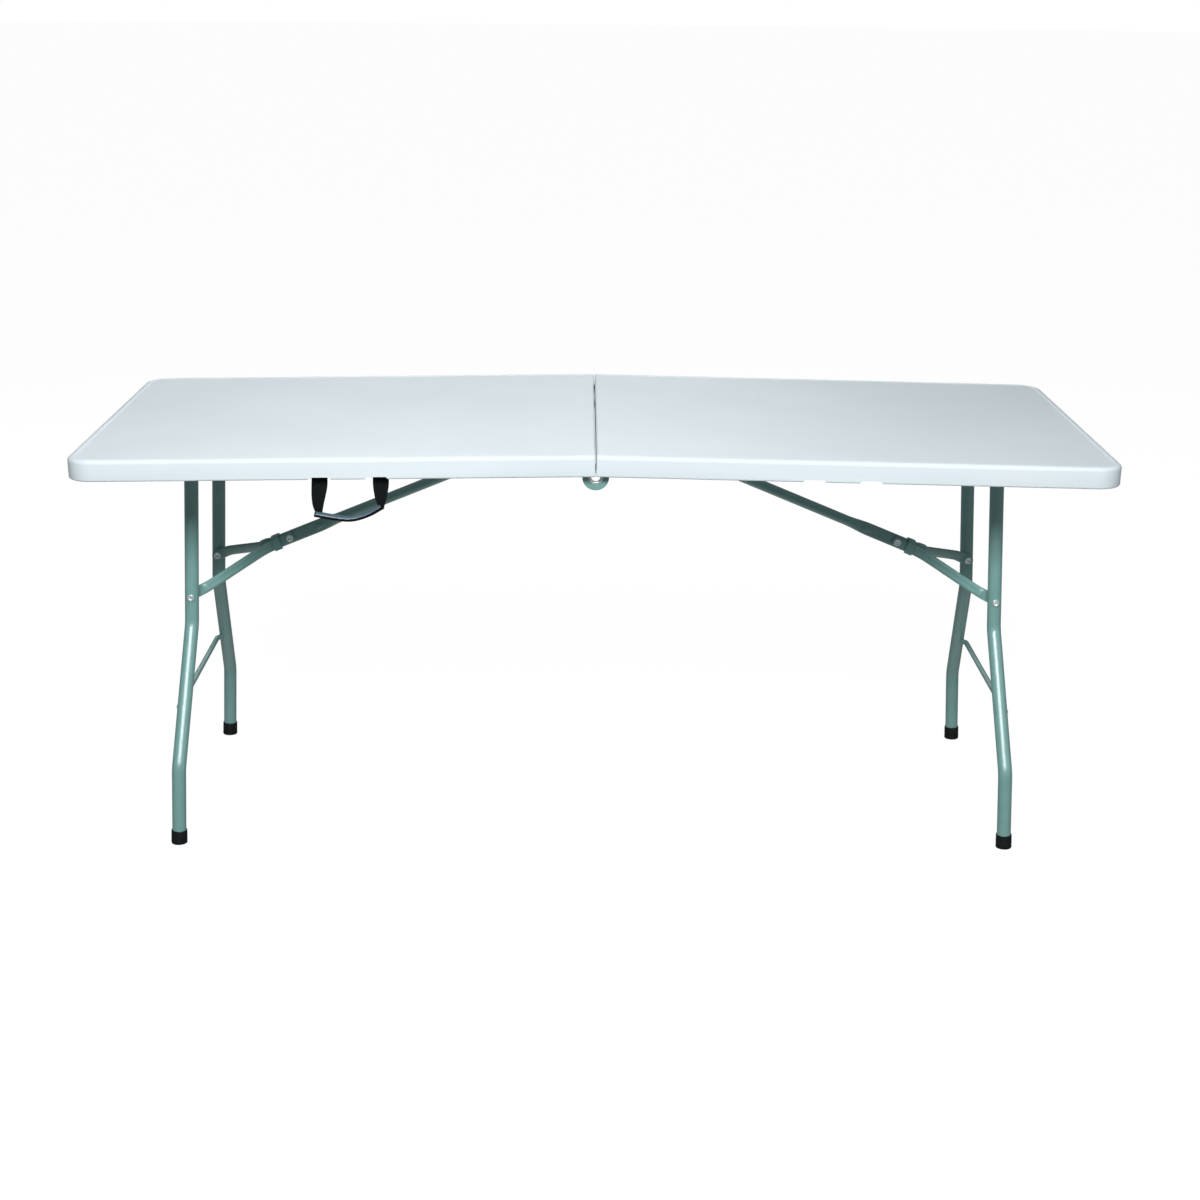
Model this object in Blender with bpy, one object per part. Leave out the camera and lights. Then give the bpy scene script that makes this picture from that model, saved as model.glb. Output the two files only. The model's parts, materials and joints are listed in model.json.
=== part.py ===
"""Fold-in-half table: moulded top halves, folding leg frames, locking braces and a carry handle."""

import math

import bpy
import bmesh
from mathutils import Vector

# ---- driving dimensions, metres ----
HALF_LENGTH = 0.9        # one half, seam to end
HALF_WIDTH = 0.37        # half of the table's width
SEAM_Z = 0.7508          # height of the table surface at the seam
CAMBER = math.radians(1.0)
SEAM_GAP = 0.0004        # each half stops this far from the seam plane
CORNER_R = 0.047
RIM_DEPTH = 0.038
RIM_WALL = 0.0178
SEAM_WALL = 0.006
PLATE = 0.0085           # thickness of the top above the leg recess

HINGE_Z = 0.7083         # the table folds about this line
LUG_R = 0.023
EYELET_R = 0.0093
EYELET_BORE = 0.0080
SHEET = 0.0026           # rails and hinge plates
RAIL_LAYER = {"left": 0.3443, "right": 0.3414}    # inner face of the rail's web
PLATE_LAYER = {"left": 0.3472, "right": 0.3443}   # inner face of the hinge plate
RAIL_SPAN = (0.027, 0.80)
RAIL_DROP = (0.0092, 0.0360)
RAIL_FLANGE = 0.022
RAIL_SCREWS = (0.30, 0.62)

NOTCHES = (0.3708, 0.4674)   # scallops in the front rim, from the seam
NOTCH_WIDTHS = (0.0325, 0.0425)   # at its top and at the rim's edge
NOTCH_DEPTH = 0.0045

PIVOT = (0.724, -0.0235)     # leg pivot: along the half, below the surface
PIVOT_TUBE_R = 0.011
LEG_R = 0.0127
LEG_WALL = 0.0016
FOOT_X = 0.7556
LEG_TOP_Y = 0.1447
LEG_FOOT_Y = 0.2811
BEND_HIGH = 0.338            # distances from the pivot down the leg
BEND_LOW = 0.5712
BEND_R = 0.042
FOOT_CAP_R = 0.0146
FOOT_CAP_H = 0.026
CROSSBAR_AT = 0.481
CROSSBAR_R = 0.005
CROSSBAR_OUT = 0.0135        # outward of the legs' plane, so that the folded link clears it
CROSSBAR_END_OUT = 0.0060    # the same at its ends, which bend in to meet the tubes
CROSSBAR_BEND = 0.030        # length of each bent end
LEG_RIVET_AT = 0.2849
RIVET_R = 0.004
RIVET_HEAD_R = 0.0068
KNEE_HEAD_H = 0.0015

BRACE_TOP = (0.0250, -0.0200)    # link pivot: along the half, below the surface
ROD_R = 0.0045
KNEE = (0.5740, 0.5035)          # knee rivet, x and z
LINK_R = 0.0095
FLAT_HALF = 0.0122               # half height of a flattened tube end
LINK_FLAT_T = 0.0045
LINK_TIP = 0.060                 # link beyond the knee rivet
LINK_EYE_T = 0.0048              # half thickness at the link's pivot
TIP_HALF = 0.0095                # half height of the link's square tip
TIP_RISE = 0.0050
TIP_SLANT = 0.36                 # the tip's end leans back by this share of its height
ARM_HALF = 0.0097                # half height of an arm's oval tube
ARM_T = 0.0072                   # half of its thickness, square to the link
ARM_EYE = 0.0104                 # half height of its pressed ends
ARM_FLAT_T = 0.0024
RING_AT = 0.0265                 # lock ring centre beyond the knee rivet
RING_LENGTH = 0.0155
RING_WALL = 0.0014
RING_FOOT = 0.0130               # the ring's open edges, below the link's centre line

HANDLE_PIVOT = (0.3497, -0.0365)   # distance from the centre line, below the surface
STRAPS = (0.3652, 0.4690)
STRAP_DRIFT = (0.0014, 0.0051)     # how far each strap leans from the seam on its way down
STRAP_SHAPE = (                    # share of the drop, share of the width, share of the drift
    (0.0, 1.0, 0.0), (0.25, 1.0, 0.25), (0.5, 0.88, 0.7), (0.75, 0.66, 1.0), (1.0, 0.3, 0.72),
)
STRAP_W = 0.0272
STRAP_T = 0.0019
GRIP_LINE = (                      # from the seam, below the pivot line
    (0.3640, 0.0530), (0.3890, 0.0665), (0.4180, 0.0745), (0.4480, 0.0718), (0.4810, 0.0654),
)
GRIP_T = 0.0104
GRIP_W = 0.015

SIDES = {"left": -1, "right": 1}
ENDS = {"front": -1, "back": 1}


def clear_scene():
    for ob in list(bpy.data.objects):
        bpy.data.objects.remove(ob, do_unlink=True)


def material(name, colour, roughness, metallic=0.0):
    mat = bpy.data.materials.new(name)
    mat.use_nodes = True
    shader = mat.node_tree.nodes["Principled BSDF"]
    shader.inputs["Base Color"].default_value = (*colour, 1)
    shader.inputs["Roughness"].default_value = roughness
    shader.inputs["Metallic"].default_value = metallic
    return mat


# ---- frames: a half of the top, a leg frame, a brace ----
def half_point(side, u, y, w):
    """A point of one half: u from the seam, w above the surface, turned by the camber about the hinge."""
    z = w + SEAM_Z - HINGE_Z
    x = u * math.cos(CAMBER) + z * math.sin(CAMBER)
    return Vector((side * x, y, HINGE_Z - u * math.sin(CAMBER) + z * math.cos(CAMBER)))


LEG_PIVOT = half_point(1, PIVOT[0], 0, PIVOT[1])
SPLAY = math.atan2(FOOT_X - LEG_PIVOT.x, LEG_PIVOT.z)
LEG_LENGTH = LEG_PIVOT.z / math.cos(SPLAY)
LINK_PIVOT = half_point(1, BRACE_TOP[0], 0, BRACE_TOP[1])
KNEE_POINT = Vector((KNEE[0], 0, KNEE[1]))
LINK_LENGTH = (KNEE_POINT - LINK_PIVOT).length
KNEE_STACK = LINK_FLAT_T + 0.0008 + 2 * ARM_FLAT_T    # half of what the knee rivet clamps


def leg_point(side, r, y, n=0.0):
    """A point of a leg frame: r down the leg, n outward from its plane."""
    x = LEG_PIVOT.x + r * math.sin(SPLAY) + n * math.cos(SPLAY)
    return Vector((side * x, y, LEG_PIVOT.z - r * math.cos(SPLAY) + n * math.sin(SPLAY)))


def brace_point(side, start, end, s, y, h):
    """A point of a brace member: s from start towards end, h square to it, upward."""
    along = (end - start).normalized()
    rise = Vector((-along.z, 0, along.x))
    p = start + along * s + rise * h
    return Vector((side * p.x, y, p.z))


# ---- mesh building ----
def make(name, verts, faces, mat, origin=(0, 0, 0), smooth=False):
    origin = Vector(origin)
    mesh = bpy.data.meshes.new(name)
    mesh.from_pydata([Vector(v) - origin for v in verts], [], faces)
    bm = bmesh.new()
    bm.from_mesh(mesh)
    bmesh.ops.recalc_face_normals(bm, faces=bm.faces)
    bm.to_mesh(mesh)
    bm.free()
    mesh.polygons.foreach_set("use_smooth", [smooth] * len(mesh.polygons))
    ob = bpy.data.objects.new(name, mesh)
    ob.location = origin
    bpy.context.collection.objects.link(ob)
    if mat:
        mesh.materials.append(mat)
    return ob


def skin(loops, wrap=False):
    """Vertices and faces over matching loops: capped at both ends, or joined round when wrap."""
    n = len(loops[0])
    verts = [p for loop in loops for p in loop]
    last = len(loops) if wrap else len(loops) - 1
    faces = []
    for i in range(last):
        a, b = i * n, (i + 1) % len(loops) * n
        faces += [(a + k, a + (k + 1) % n, b + (k + 1) % n, b + k) for k in range(n)]
    if not wrap:
        faces += [tuple(range(n)), tuple(range(last * n, last * n + n))]
    return verts, faces


def round_loop(centre, a, b, r, sides):
    turn = 2 * math.pi / sides
    return [centre + r * (math.cos(k * turn) * a + math.sin(k * turn) * b) for k in range(sides)]


def swept(points, across, radius, sides):
    """Loops of a round bar along points; across is square to its path everywhere."""
    loops = []
    for k, p in enumerate(points):
        tangent = (points[min(k + 1, len(points) - 1)] - points[max(k - 1, 0)]).normalized()
        loops.append(round_loop(p, across, tangent.cross(across), radius, sides))
    return loops


def revolved(name, stations, start, along, mat, origin, sides=20, wrap=False):
    """A turned piece: stations are (distance along the axis, radius)."""
    along = Vector(along).normalized()
    a = along.orthogonal().normalized()
    b = along.cross(a)
    loops = [round_loop(Vector(start) + d * along, a, b, r, sides) for d, r in stations]
    return make(name, *skin(loops, wrap), mat, origin, smooth=True)


def prism(name, outline, mat, origin, smooth=False):
    """A piece of constant section: outline gives its two matching end loops."""
    return make(name, *skin(outline), mat, origin, smooth)


def cutter(ob):
    ob.hide_render = True
    ob.display_type = "WIRE"
    return ob


def cut(ob, tool):
    mod = ob.modifiers.new(tool.name, "BOOLEAN")
    mod.operation = "DIFFERENCE"
    mod.solver = "EXACT"
    mod.object = tool


def drill(ob, name, centre, along, r, reach, sides=20):
    """A round hole through ob, reach either way from centre."""
    start = Vector(centre) - Vector(along).normalized() * reach
    cut(ob, cutter(revolved(name, [(0, r), (2 * reach, r)], start, along, None, centre, sides)))


# ---- top ----
def top_loop(side, inset, seam_inset, w):
    """Outline of a half at depth w, drawn in from its edges by the insets."""
    u0, u1 = SEAM_GAP + seam_inset, HALF_LENGTH - inset
    v = HALF_WIDTH - inset
    loop = []
    for corner_u, corner_v, first, r, steps in (
        (u0, -v, 180, 0.003, 2),
        (u1, -v, 270, max(CORNER_R - inset, 0.012), 10),
        (u1, v, 0, max(CORNER_R - inset, 0.012), 10),
        (u0, v, 90, 0.003, 2),
    ):
        cu = corner_u + r if corner_u == u0 else corner_u - r
        cv = corner_v + r if corner_v < 0 else corner_v - r
        for k in range(steps + 1):
            t = math.radians(first + 90 * k / steps)
            loop.append(half_point(side, cu + r * math.cos(t), cv + r * math.sin(t), w))
    return loop


def top_half(name, mat):
    side = SIDES[name]
    layers = (
        (RIM_WALL + 0.006, SEAM_WALL + 0.002, -PLATE),
        (RIM_WALL + 0.0015, SEAM_WALL + 0.0005, -PLATE - 0.002),
        (RIM_WALL, SEAM_WALL, -PLATE - 0.006),
        (RIM_WALL, SEAM_WALL, -RIM_DEPTH + 0.0012),
        (RIM_WALL - 0.0012, SEAM_WALL - 0.0008, -RIM_DEPTH),
        (0.0030, 0.0010, -RIM_DEPTH),
        (0.0008, 0.0003, -RIM_DEPTH + 0.0008),
        (0.0000, 0.0000, -RIM_DEPTH + 0.0030),
        (0.0000, 0.0000, -0.0075),
        (0.0009, 0.0002, -0.0045),
        (0.0030, 0.0006, -0.0020),
        (0.0062, 0.0012, -0.0004),
        (0.0085, 0.0018, 0.0000),
        (0.0110, 0.0024, 0.0000),
        (0.0128, 0.0032, -0.0010),
    )
    loops = [top_loop(side, *layer) for layer in layers]
    ob = make(f"top_{name}", *skin(loops), mat, (0, 0, HINGE_Z), smooth=False)
    for k, at in enumerate(NOTCHES):
        cut(ob, notch_tool(f"notch_tool_{name}_{k + 1}", side, at))
    for end, s in ENDS.items():
        corners = [(-0.002, -0.045), (0.0090, -0.045), (0.0090, -0.0165), (-0.002, -0.0165)]
        sheets = [[half_point(side, u, s * y, w) for u, w in corners] for y in (0.3405, 0.3532)]
        cut(ob, cutter(prism(f"lug_tool_{name}_{end}", sheets, None, (0, 0, HINGE_Z))))
    return ob


def notch_tool(name, side, at):
    top, foot = (width / 2 for width in NOTCH_WIDTHS)
    w0, w1 = -RIM_DEPTH + NOTCH_DEPTH, -RIM_DEPTH - 0.002
    corners = [(at - top, w0), (at + top, w0), (at + foot, w1), (at - foot, w1)]
    sheets = [[half_point(side, u, y, w) for u, w in corners] for y in (-0.380, -0.3495)]
    return cutter(prism(name, sheets, None, (0, 0, HINGE_Z)))


# ---- steelwork under the top ----
def rail(name, end, mat, screw_mat):
    side, s = SIDES[name], ENDS[end]
    inner = RAIL_LAYER[name]
    outer, lip = inner + SHEET, inner - RAIL_FLANGE
    high, low = -RAIL_DROP[0], -RAIL_DROP[1]
    under = high - 0.0024
    section = [(lip, high), (outer, high), (outer, low), (inner, low), (inner, under), (lip, under)]
    ends = [[half_point(side, u, s * y, w) for y, w in section] for u in RAIL_SPAN]
    home = (0, 0, HINGE_Z)
    ob = prism(f"rail_{name}_{end}", ends, mat, home)
    drill(ob, f"pivot_drill_{name}_{end}", half_point(side, PIVOT[0], s * (inner + SHEET / 2), PIVOT[1]),
          (0, 1, 0), PIVOT_TUBE_R + 0.00035, 0.004, 28)
    down = (half_point(side, 0, 0, -1) - half_point(side, 0, 0, 0)).normalized()
    for k, u in enumerate(RAIL_SCREWS):
        at = half_point(side, u, s * (lip + 0.009), under)
        drill(ob, f"screw_drill_{name}_{end}_{k + 1}", at, down, 0.0024, 0.004, 12)
        stations = [(-0.0020, 0.0020), (0.0003, 0.0020), (0.0003, 0.0048), (0.0016, 0.0046), (0.0026, 0.0034),
                    (0.0030, 0.0015)]
        revolved(f"rail_screw_{name}_{end}_{k + 1}", stations, at, down, screw_mat, home, 14)


def hinge_plate(name, end, mat):
    side, s = SIDES[name], ENDS[end]
    layer = PLATE_LAYER[name]
    cw = HINGE_Z - SEAM_Z
    low, high = -0.0365, -0.0180
    start = math.asin((low - cw) / LUG_R)
    steps = 22
    stop = -1.5 * math.pi
    arc = [start + (stop - start) * k / steps for k in range(steps + 1)]
    outline = [(LUG_R * math.cos(t), cw + LUG_R * math.sin(t)) for t in arc]
    outline += [(0.030, high), (0.146, high), (0.150, high - 0.004), (0.150, low + 0.004), (0.146, low)]
    sheets = [[half_point(side, u, s * y, w) for u, w in outline] for y in (layer, layer + SHEET)]
    ob = prism(f"hinge_plate_{name}_{end}", sheets, mat, (0, 0, HINGE_Z))
    drill(ob, f"eyelet_drill_{name}_{end}", (0, s * (layer + SHEET / 2), HINGE_Z), (0, 1, 0),
          EYELET_R + 0.0005, 0.004, 28)


def hinge_eyelet(end, mat):
    s = ENDS[end]
    inner, outer = PLATE_LAYER["right"], PLATE_LAYER["left"] + SHEET
    lip = EYELET_R + 0.0032
    stations = [
        (inner - 0.0015, EYELET_BORE + 0.0004), (inner - 0.0015, lip - 0.0006), (inner - 0.0003, lip),
        (inner - 0.0003, EYELET_R), (outer + 0.0003, EYELET_R), (outer + 0.0003, lip),
        (outer + 0.0015, lip - 0.0006), (outer + 0.0015, EYELET_BORE + 0.0004),
        (outer, EYELET_BORE), (inner, EYELET_BORE),
    ]
    axle = (0, 0, HINGE_Z)
    revolved(f"hinge_eyelet_{end}", stations, axle, (0, s, 0), mat, axle, 24, wrap=True)


def brace_mount(name, mat):
    """The cross rod that the brace hangs from, in two brackets."""
    side = SIDES[name]
    u, w = BRACE_TOP
    centre = half_point(side, u, 0, w)
    home = (0, 0, HINGE_Z)
    reach = 0.066
    revolved(f"brace_rod_{name}", [(0, ROD_R), (2 * reach, ROD_R)], centre - Vector((0, reach, 0)), (0, 1, 0),
             mat, home, 16)
    foot, eye, base = 0.012, 0.0085, -PLATE - 0.0004
    corners = [(u - foot, base), (u + foot, base), (u + foot, base - 0.003), (u + eye, w),
               (u + eye * 0.7, w - eye * 0.7), (u, w - eye), (u - eye * 0.7, w - eye * 0.7), (u - eye, w),
               (u - foot, base - 0.003)]
    for end, s in ENDS.items():
        sheets = [[half_point(side, a, s * y, b) for a, b in corners] for y in (0.042, 0.056)]
        ob = prism(f"brace_bracket_{name}_{end}", sheets, mat, home)
        eye_centre = (centre.x, s * 0.049, centre.z)
        drill(ob, f"rod_drill_{name}_{end}", eye_centre, (0, 1, 0), ROD_R + 0.0003, 0.010, 16)


# ---- legs ----
def leg_path():
    """Centre line of a leg as (r, y) stations with each piece's direction, bends rounded."""
    corners = [(0.0060, LEG_TOP_Y), (BEND_HIGH, LEG_TOP_Y), (BEND_LOW, LEG_FOOT_Y),
               (LEG_LENGTH - 0.0056, LEG_FOOT_Y)]
    slope = math.atan2(LEG_FOOT_Y - LEG_TOP_Y, BEND_LOW - BEND_HIGH)
    back = BEND_R * math.tan(slope / 2)
    stations = [(corners[0], 0.0)]
    for (r, y), first, last in ((corners[1], 0.0, slope), (corners[2], slope, 0.0)):
        turn = 1 if last > first else -1
        r0, y0 = r - back * math.cos(first), y - back * math.sin(first)
        cr, cy = r0 - turn * BEND_R * math.sin(first), y0 + turn * BEND_R * math.cos(first)
        for k in range(5):
            t = first + (last - first) * k / 4
            stations.append(((cr + turn * BEND_R * math.sin(t), cy - turn * BEND_R * math.cos(t)), t))
    return stations + [(corners[3], 0.0)]


def leg_loops(side, s, radius):
    loops = []
    for (r, y), t in leg_path():
        centre = leg_point(side, r, s * y)
        out = (leg_point(side, r, 0, 1) - leg_point(side, r, 0)).normalized()
        down = (leg_point(side, r + 1, 0) - leg_point(side, r, 0)).normalized()
        across = Vector((0, s, 0)) * math.cos(t) - down * math.sin(t)
        loops.append(round_loop(centre, out, across, radius, 18))
    return loops


def leg_tube(name, end, mat, rivet_mat):
    side, s = SIDES[name], ENDS[end]
    home = leg_point(side, 0, 0)
    outer, inner = leg_loops(side, s, LEG_R), leg_loops(side, s, LEG_R - LEG_WALL)
    ob = make(f"leg_tube_{name}_{end}", *skin(outer + inner[::-1], wrap=True), mat, home, smooth=True)
    drill(ob, f"saddle_drill_{name}_{end}", leg_point(side, 0, s * LEG_TOP_Y), (0, 1, 0),
          PIVOT_TUBE_R + 0.0003, 0.030, 28)
    at = leg_point(side, LEG_RIVET_AT, s * LEG_TOP_Y)
    drill(ob, f"rivet_drill_{name}_{end}", at, (0, 1, 0), RIVET_R + 0.0003, 0.020, 14)
    out = LEG_R + 0.0003
    stations = [(-0.0100, RIVET_R), (out, RIVET_R), (out, RIVET_HEAD_R), (out + 0.0012, RIVET_HEAD_R * 0.94),
                (out + 0.0024, RIVET_HEAD_R * 0.7), (out + 0.0030, RIVET_HEAD_R * 0.3)]
    revolved(f"leg_rivet_{name}_{end}", stations, at, (0, s, 0), rivet_mat, home, 16)


def crossbar_path():
    """Centre line of a crossbar as (y, n) stations: straight, its ends bent in to the middle of the tubes."""
    share = (CROSSBAR_AT - BEND_HIGH) / (BEND_LOW - BEND_HIGH)
    reach = LEG_TOP_Y + share * (LEG_FOOT_Y - LEG_TOP_Y) + 0.003
    first, last = reach - CROSSBAR_BEND, reach - LEG_R
    half = [(reach, CROSSBAR_END_OUT)]
    for k in range(5):
        t = k / 4
        out = CROSSBAR_END_OUT + (CROSSBAR_OUT - CROSSBAR_END_OUT) * t * t * (3 - 2 * t)
        half.append((last + (first - last) * t, out))
    return [(-y, n) for y, n in half] + half[::-1]


def leg_crossbar(name, mat):
    side = SIDES[name]
    home = leg_point(side, 0, 0)
    down = (leg_point(side, 1, 0) - home).normalized()
    points = [leg_point(side, CROSSBAR_AT, y, n) for y, n in crossbar_path()]
    ob = make(f"leg_crossbar_{name}", *skin(swept(points, down, CROSSBAR_R, 14)), mat, home, smooth=True)
    for end, s in ENDS.items():
        tool = make(f"weld_tool_{name}_{end}", *skin(leg_loops(side, s, LEG_R + 0.0003)), None, home)
        cut(ob, cutter(tool))


def foot_cap(name, end, mat):
    """A rubber cup on the tube's end, its sole cut level with the floor."""
    side, s = SIDES[name], ENDS[end]
    out = (leg_point(side, 0, 0, 1) - leg_point(side, 0, 0)).normalized()
    across = Vector((0, s, 0))
    top, floor = LEG_LENGTH - FOOT_CAP_H, LEG_LENGTH - 0.0052
    loops = []
    for r, radius in ((LEG_LENGTH, FOOT_CAP_R - 0.0008), (LEG_LENGTH - 0.002, FOOT_CAP_R),
                      (top + 0.001, FOOT_CAP_R - 0.0003), (top, FOOT_CAP_R - 0.0009),
                      (top, LEG_R + 0.0003), (floor, LEG_R + 0.0003)):
        loop = round_loop(leg_point(side, r, s * LEG_FOOT_Y), out, across, radius, 20)
        if r == LEG_LENGTH:
            down = (leg_point(side, 1, 0) - leg_point(side, 0, 0)).normalized()
            loop = [p - down * (p.z / down.z) for p in loop]
        loops.append(loop)
    make(f"foot_cap_{name}_{end}", *skin(loops), mat, leg_point(side, 0, 0), smooth=True)


def leg_frame(name, steel, rubber, zinc):
    side = SIDES[name]
    reach = RAIL_LAYER[name] + SHEET + 0.002
    pivot = leg_point(side, 0, 0)
    stations = [(0, PIVOT_TUBE_R), (2 * reach, PIVOT_TUBE_R), (2 * reach, PIVOT_TUBE_R - 0.0018),
                (0, PIVOT_TUBE_R - 0.0018)]
    start = pivot - Vector((0, reach, 0))
    revolved(f"leg_pivot_tube_{name}", stations, start, (0, 1, 0), steel, pivot, 28, wrap=True)
    leg_crossbar(name, steel)
    for end in ENDS:
        leg_tube(name, end, steel, zinc)
        foot_cap(name, end, rubber)


# ---- brace ----
def flattened_loop(point, y, h, half_t, half_h, n=16):
    """A tube's section between round and pressed flat, standing at y and h."""
    power = 1.0 if half_t > 0.8 * half_h else 0.6
    loop = []
    for k in range(n):
        t = 2 * math.pi * (k + 0.5) / n
        c, d = math.cos(t), math.sin(t)
        dy = half_t * math.copysign(abs(c) ** power, c)
        dh = half_h * math.copysign(abs(d) ** power, d)
        loop.append(point(y + dy, h + dh))
    return loop


def rounded_end(at, inward, half_h):
    """Stations that close a pressed end with a half round of radius half_h about at."""
    return [(at + inward * half_h * math.cos(math.radians(a)), half_h * math.sin(math.radians(a)))
            for a in (12, 35, 60)]


def link_point(side, s, y, h, slant=0.0):
    """A point of a link: s from its pivot, h above its centre line; slant leans its end back with height."""
    return brace_point(side, LINK_PIVOT, KNEE_POINT, s - slant * (h - TIP_RISE), y, h)


def brace_link(name, mat):
    side = SIDES[name]
    b, tip = LINK_LENGTH, LINK_LENGTH + LINK_TIP
    shape = [(s, 0.0, LINK_EYE_T, hh, 0.0) for s, hh in rounded_end(0.0, -1, LINK_R)]
    shape += [(0.0, 0.0, LINK_EYE_T, LINK_R, 0.0), (0.016, 0.0, LINK_EYE_T, LINK_R, 0.0),
              (0.040, 0.0, LINK_R, LINK_R, 0.0), (b - 0.108, 0.0, LINK_R, LINK_R, 0.0),
              (b - 0.080, 0.0, 0.0068, 0.0110, 0.0), (b - 0.056, 0.0, LINK_FLAT_T, FLAT_HALF, 0.0),
              (b + 0.033, 0.0, LINK_FLAT_T, FLAT_HALF, 0.0), (b + 0.045, TIP_RISE, LINK_FLAT_T, TIP_HALF, 0.0),
              (tip - 0.0015, TIP_RISE, LINK_FLAT_T, TIP_HALF, TIP_SLANT),
              (tip, TIP_RISE, LINK_FLAT_T, TIP_HALF - 0.0015, TIP_SLANT)]
    loops = []
    for s, rise, half_t, half_h, slant in shape:
        loops.append(flattened_loop(lambda y, h: link_point(side, s, y, h, slant), 0, rise, half_t, half_h))
    home = link_point(side, 0, 0, 0)
    ob = make(f"brace_link_{name}", *skin(loops), mat, home, smooth=True)
    holes = (("pivot", 0, 0, ROD_R + 0.0003), ("knee", b, 0, RIVET_R + 0.0003),
             ("tip", b + 0.049, TIP_RISE, 0.002))
    for label, s, h, r in holes:
        drill(ob, f"link_{label}_drill_{name}", link_point(side, s, 0, h), (0, 1, 0), r, 0.012, 16)


def brace_arm(name, end, mat):
    """An arm: pressed flat beside the link, an oval tube on its slant, pressed flat again beside the leg."""
    side, s = SIDES[name], ENDS[end]
    leg_rivet = leg_point(1, LEG_RIVET_AT, 0)
    a = (leg_rivet - KNEE_POINT).length
    near = LINK_FLAT_T + 0.0005 + ARM_FLAT_T
    far = LEG_TOP_Y - LEG_R - 0.0007 - ARM_FLAT_T
    shape = [(t, near, ARM_FLAT_T, hh) for t, hh in rounded_end(0.0, -1, ARM_EYE)]
    shape += [(0.0, near, ARM_FLAT_T, ARM_EYE), (0.036, near, ARM_FLAT_T, ARM_EYE),
              (0.048, near + 0.0045, 0.0042, 0.0100), (0.060, near + 0.0150, ARM_T, ARM_HALF),
              (a - 0.030, far - 0.0070, ARM_T, ARM_HALF), (a - 0.018, far - 0.0012, 0.0030, 0.0101),
              (a - 0.010, far, ARM_FLAT_T, ARM_EYE), (a, far, ARM_FLAT_T, ARM_EYE)]
    shape += [(t, far, ARM_FLAT_T, hh) for t, hh in rounded_end(a, 1, ARM_EYE)[::-1]]
    loops = [flattened_loop(lambda y, h: brace_point(side, KNEE_POINT, leg_rivet, t, s * y, h), c, 0, tt, hh)
             for t, c, tt, hh in shape]
    knee = Vector((side * KNEE[0], 0, KNEE[1]))
    ob = make(f"brace_arm_{name}_{end}", *skin(loops), mat, knee, smooth=True)
    hole = knee + Vector((0, s * near, 0))
    drill(ob, f"arm_drill_{name}_{end}", hole, (0, 1, 0), RIVET_R + 0.0003, 0.005, 16)


def knee_rivet(name, mat):
    side = SIDES[name]
    out = KNEE_STACK
    knee = (side * KNEE[0], 0, KNEE[1])
    cap = [(out + KNEE_HEAD_H, RIVET_HEAD_R * 0.5), (out + KNEE_HEAD_H * 0.8, RIVET_HEAD_R * 0.85),
           (out + KNEE_HEAD_H * 0.3, RIVET_HEAD_R), (out, RIVET_HEAD_R), (out, RIVET_R)]
    stations = [(-d, r) for d, r in cap] + cap[::-1]
    revolved(f"knee_rivet_{name}", stations, knee, (0, 1, 0), mat, link_point(side, 0, 0, 0), 16)


def lock_ring(name, mat):
    """A band, open below, that slides along the link and holds the knee straight."""
    side = SIDES[name]
    mid, half = LINK_LENGTH + RING_AT, RING_LENGTH / 2
    inner_y, inner_h = KNEE_STACK + KNEE_HEAD_H + 0.0004, FLAT_HALF + 0.0004
    ease, bend, tuck = 0.0004, 0.0042, 0.0028
    loops = []
    for s, wall in ((-half, RING_WALL - ease), (-half + ease, RING_WALL), (half - ease, RING_WALL),
                    (half, RING_WALL - ease)):
        oy, oh = inner_y + wall, inner_h + wall
        profile = [(-oy, -RING_FOOT), (-inner_y, -RING_FOOT), (-inner_y, inner_h - tuck),
                   (-inner_y + tuck, inner_h), (inner_y - tuck, inner_h), (inner_y, inner_h - tuck),
                   (inner_y, -RING_FOOT), (oy, -RING_FOOT), (oy, oh - bend),
                   (oy - 0.3 * bend, oh - 0.3 * bend), (oy - bend, oh),
                   (-oy + bend, oh), (-oy + 0.3 * bend, oh - 0.3 * bend), (-oy, oh - bend)]
        loops.append([link_point(side, mid + s, y, h) for y, h in profile])
    make(f"lock_ring_{name}", *skin(loops), mat, link_point(side, mid, 0, 0))


# ---- carry handle on the left half's front rim ----
def handle_frame(u, out, down):
    """A point by the handle: u from the seam, out to the front and down from the handle's pivot line."""
    return half_point(-1, u, -HANDLE_PIVOT[0] - out, HANDLE_PIVOT[1] - down)


def handle_anchor(k, u, mat):
    home = handle_frame(u, 0, 0)
    half, ear = STRAP_W / 2 + 0.0006, 0.0022
    drop = 0.0022
    crown, roof = -0.0150, -0.0105
    outline = [(u - half - ear, drop), (u - half - ear, crown), (u + half + ear, crown), (u + half + ear, drop),
               (u + half, drop), (u + half, roof), (u - half, roof), (u - half, drop)]
    sheets = [[handle_frame(a, y, d) for a, d in outline] for y in (-0.0021, 0.0019)]
    ob = prism(f"handle_anchor_{k}", sheets, mat, home)
    start = handle_frame(u - half - 0.001, 0, 0)
    along = handle_frame(u + 1, 0, 0) - handle_frame(u, 0, 0)
    pin = revolved(f"anchor_pin_{k}", [(0, 0.0009), (2 * half + 0.002, 0.0009)], start, along, None, home, 10)
    mod = ob.modifiers.new("pin", "BOOLEAN")
    mod.operation = "UNION"
    mod.solver = "EXACT"
    mod.object = cutter(pin)


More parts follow.
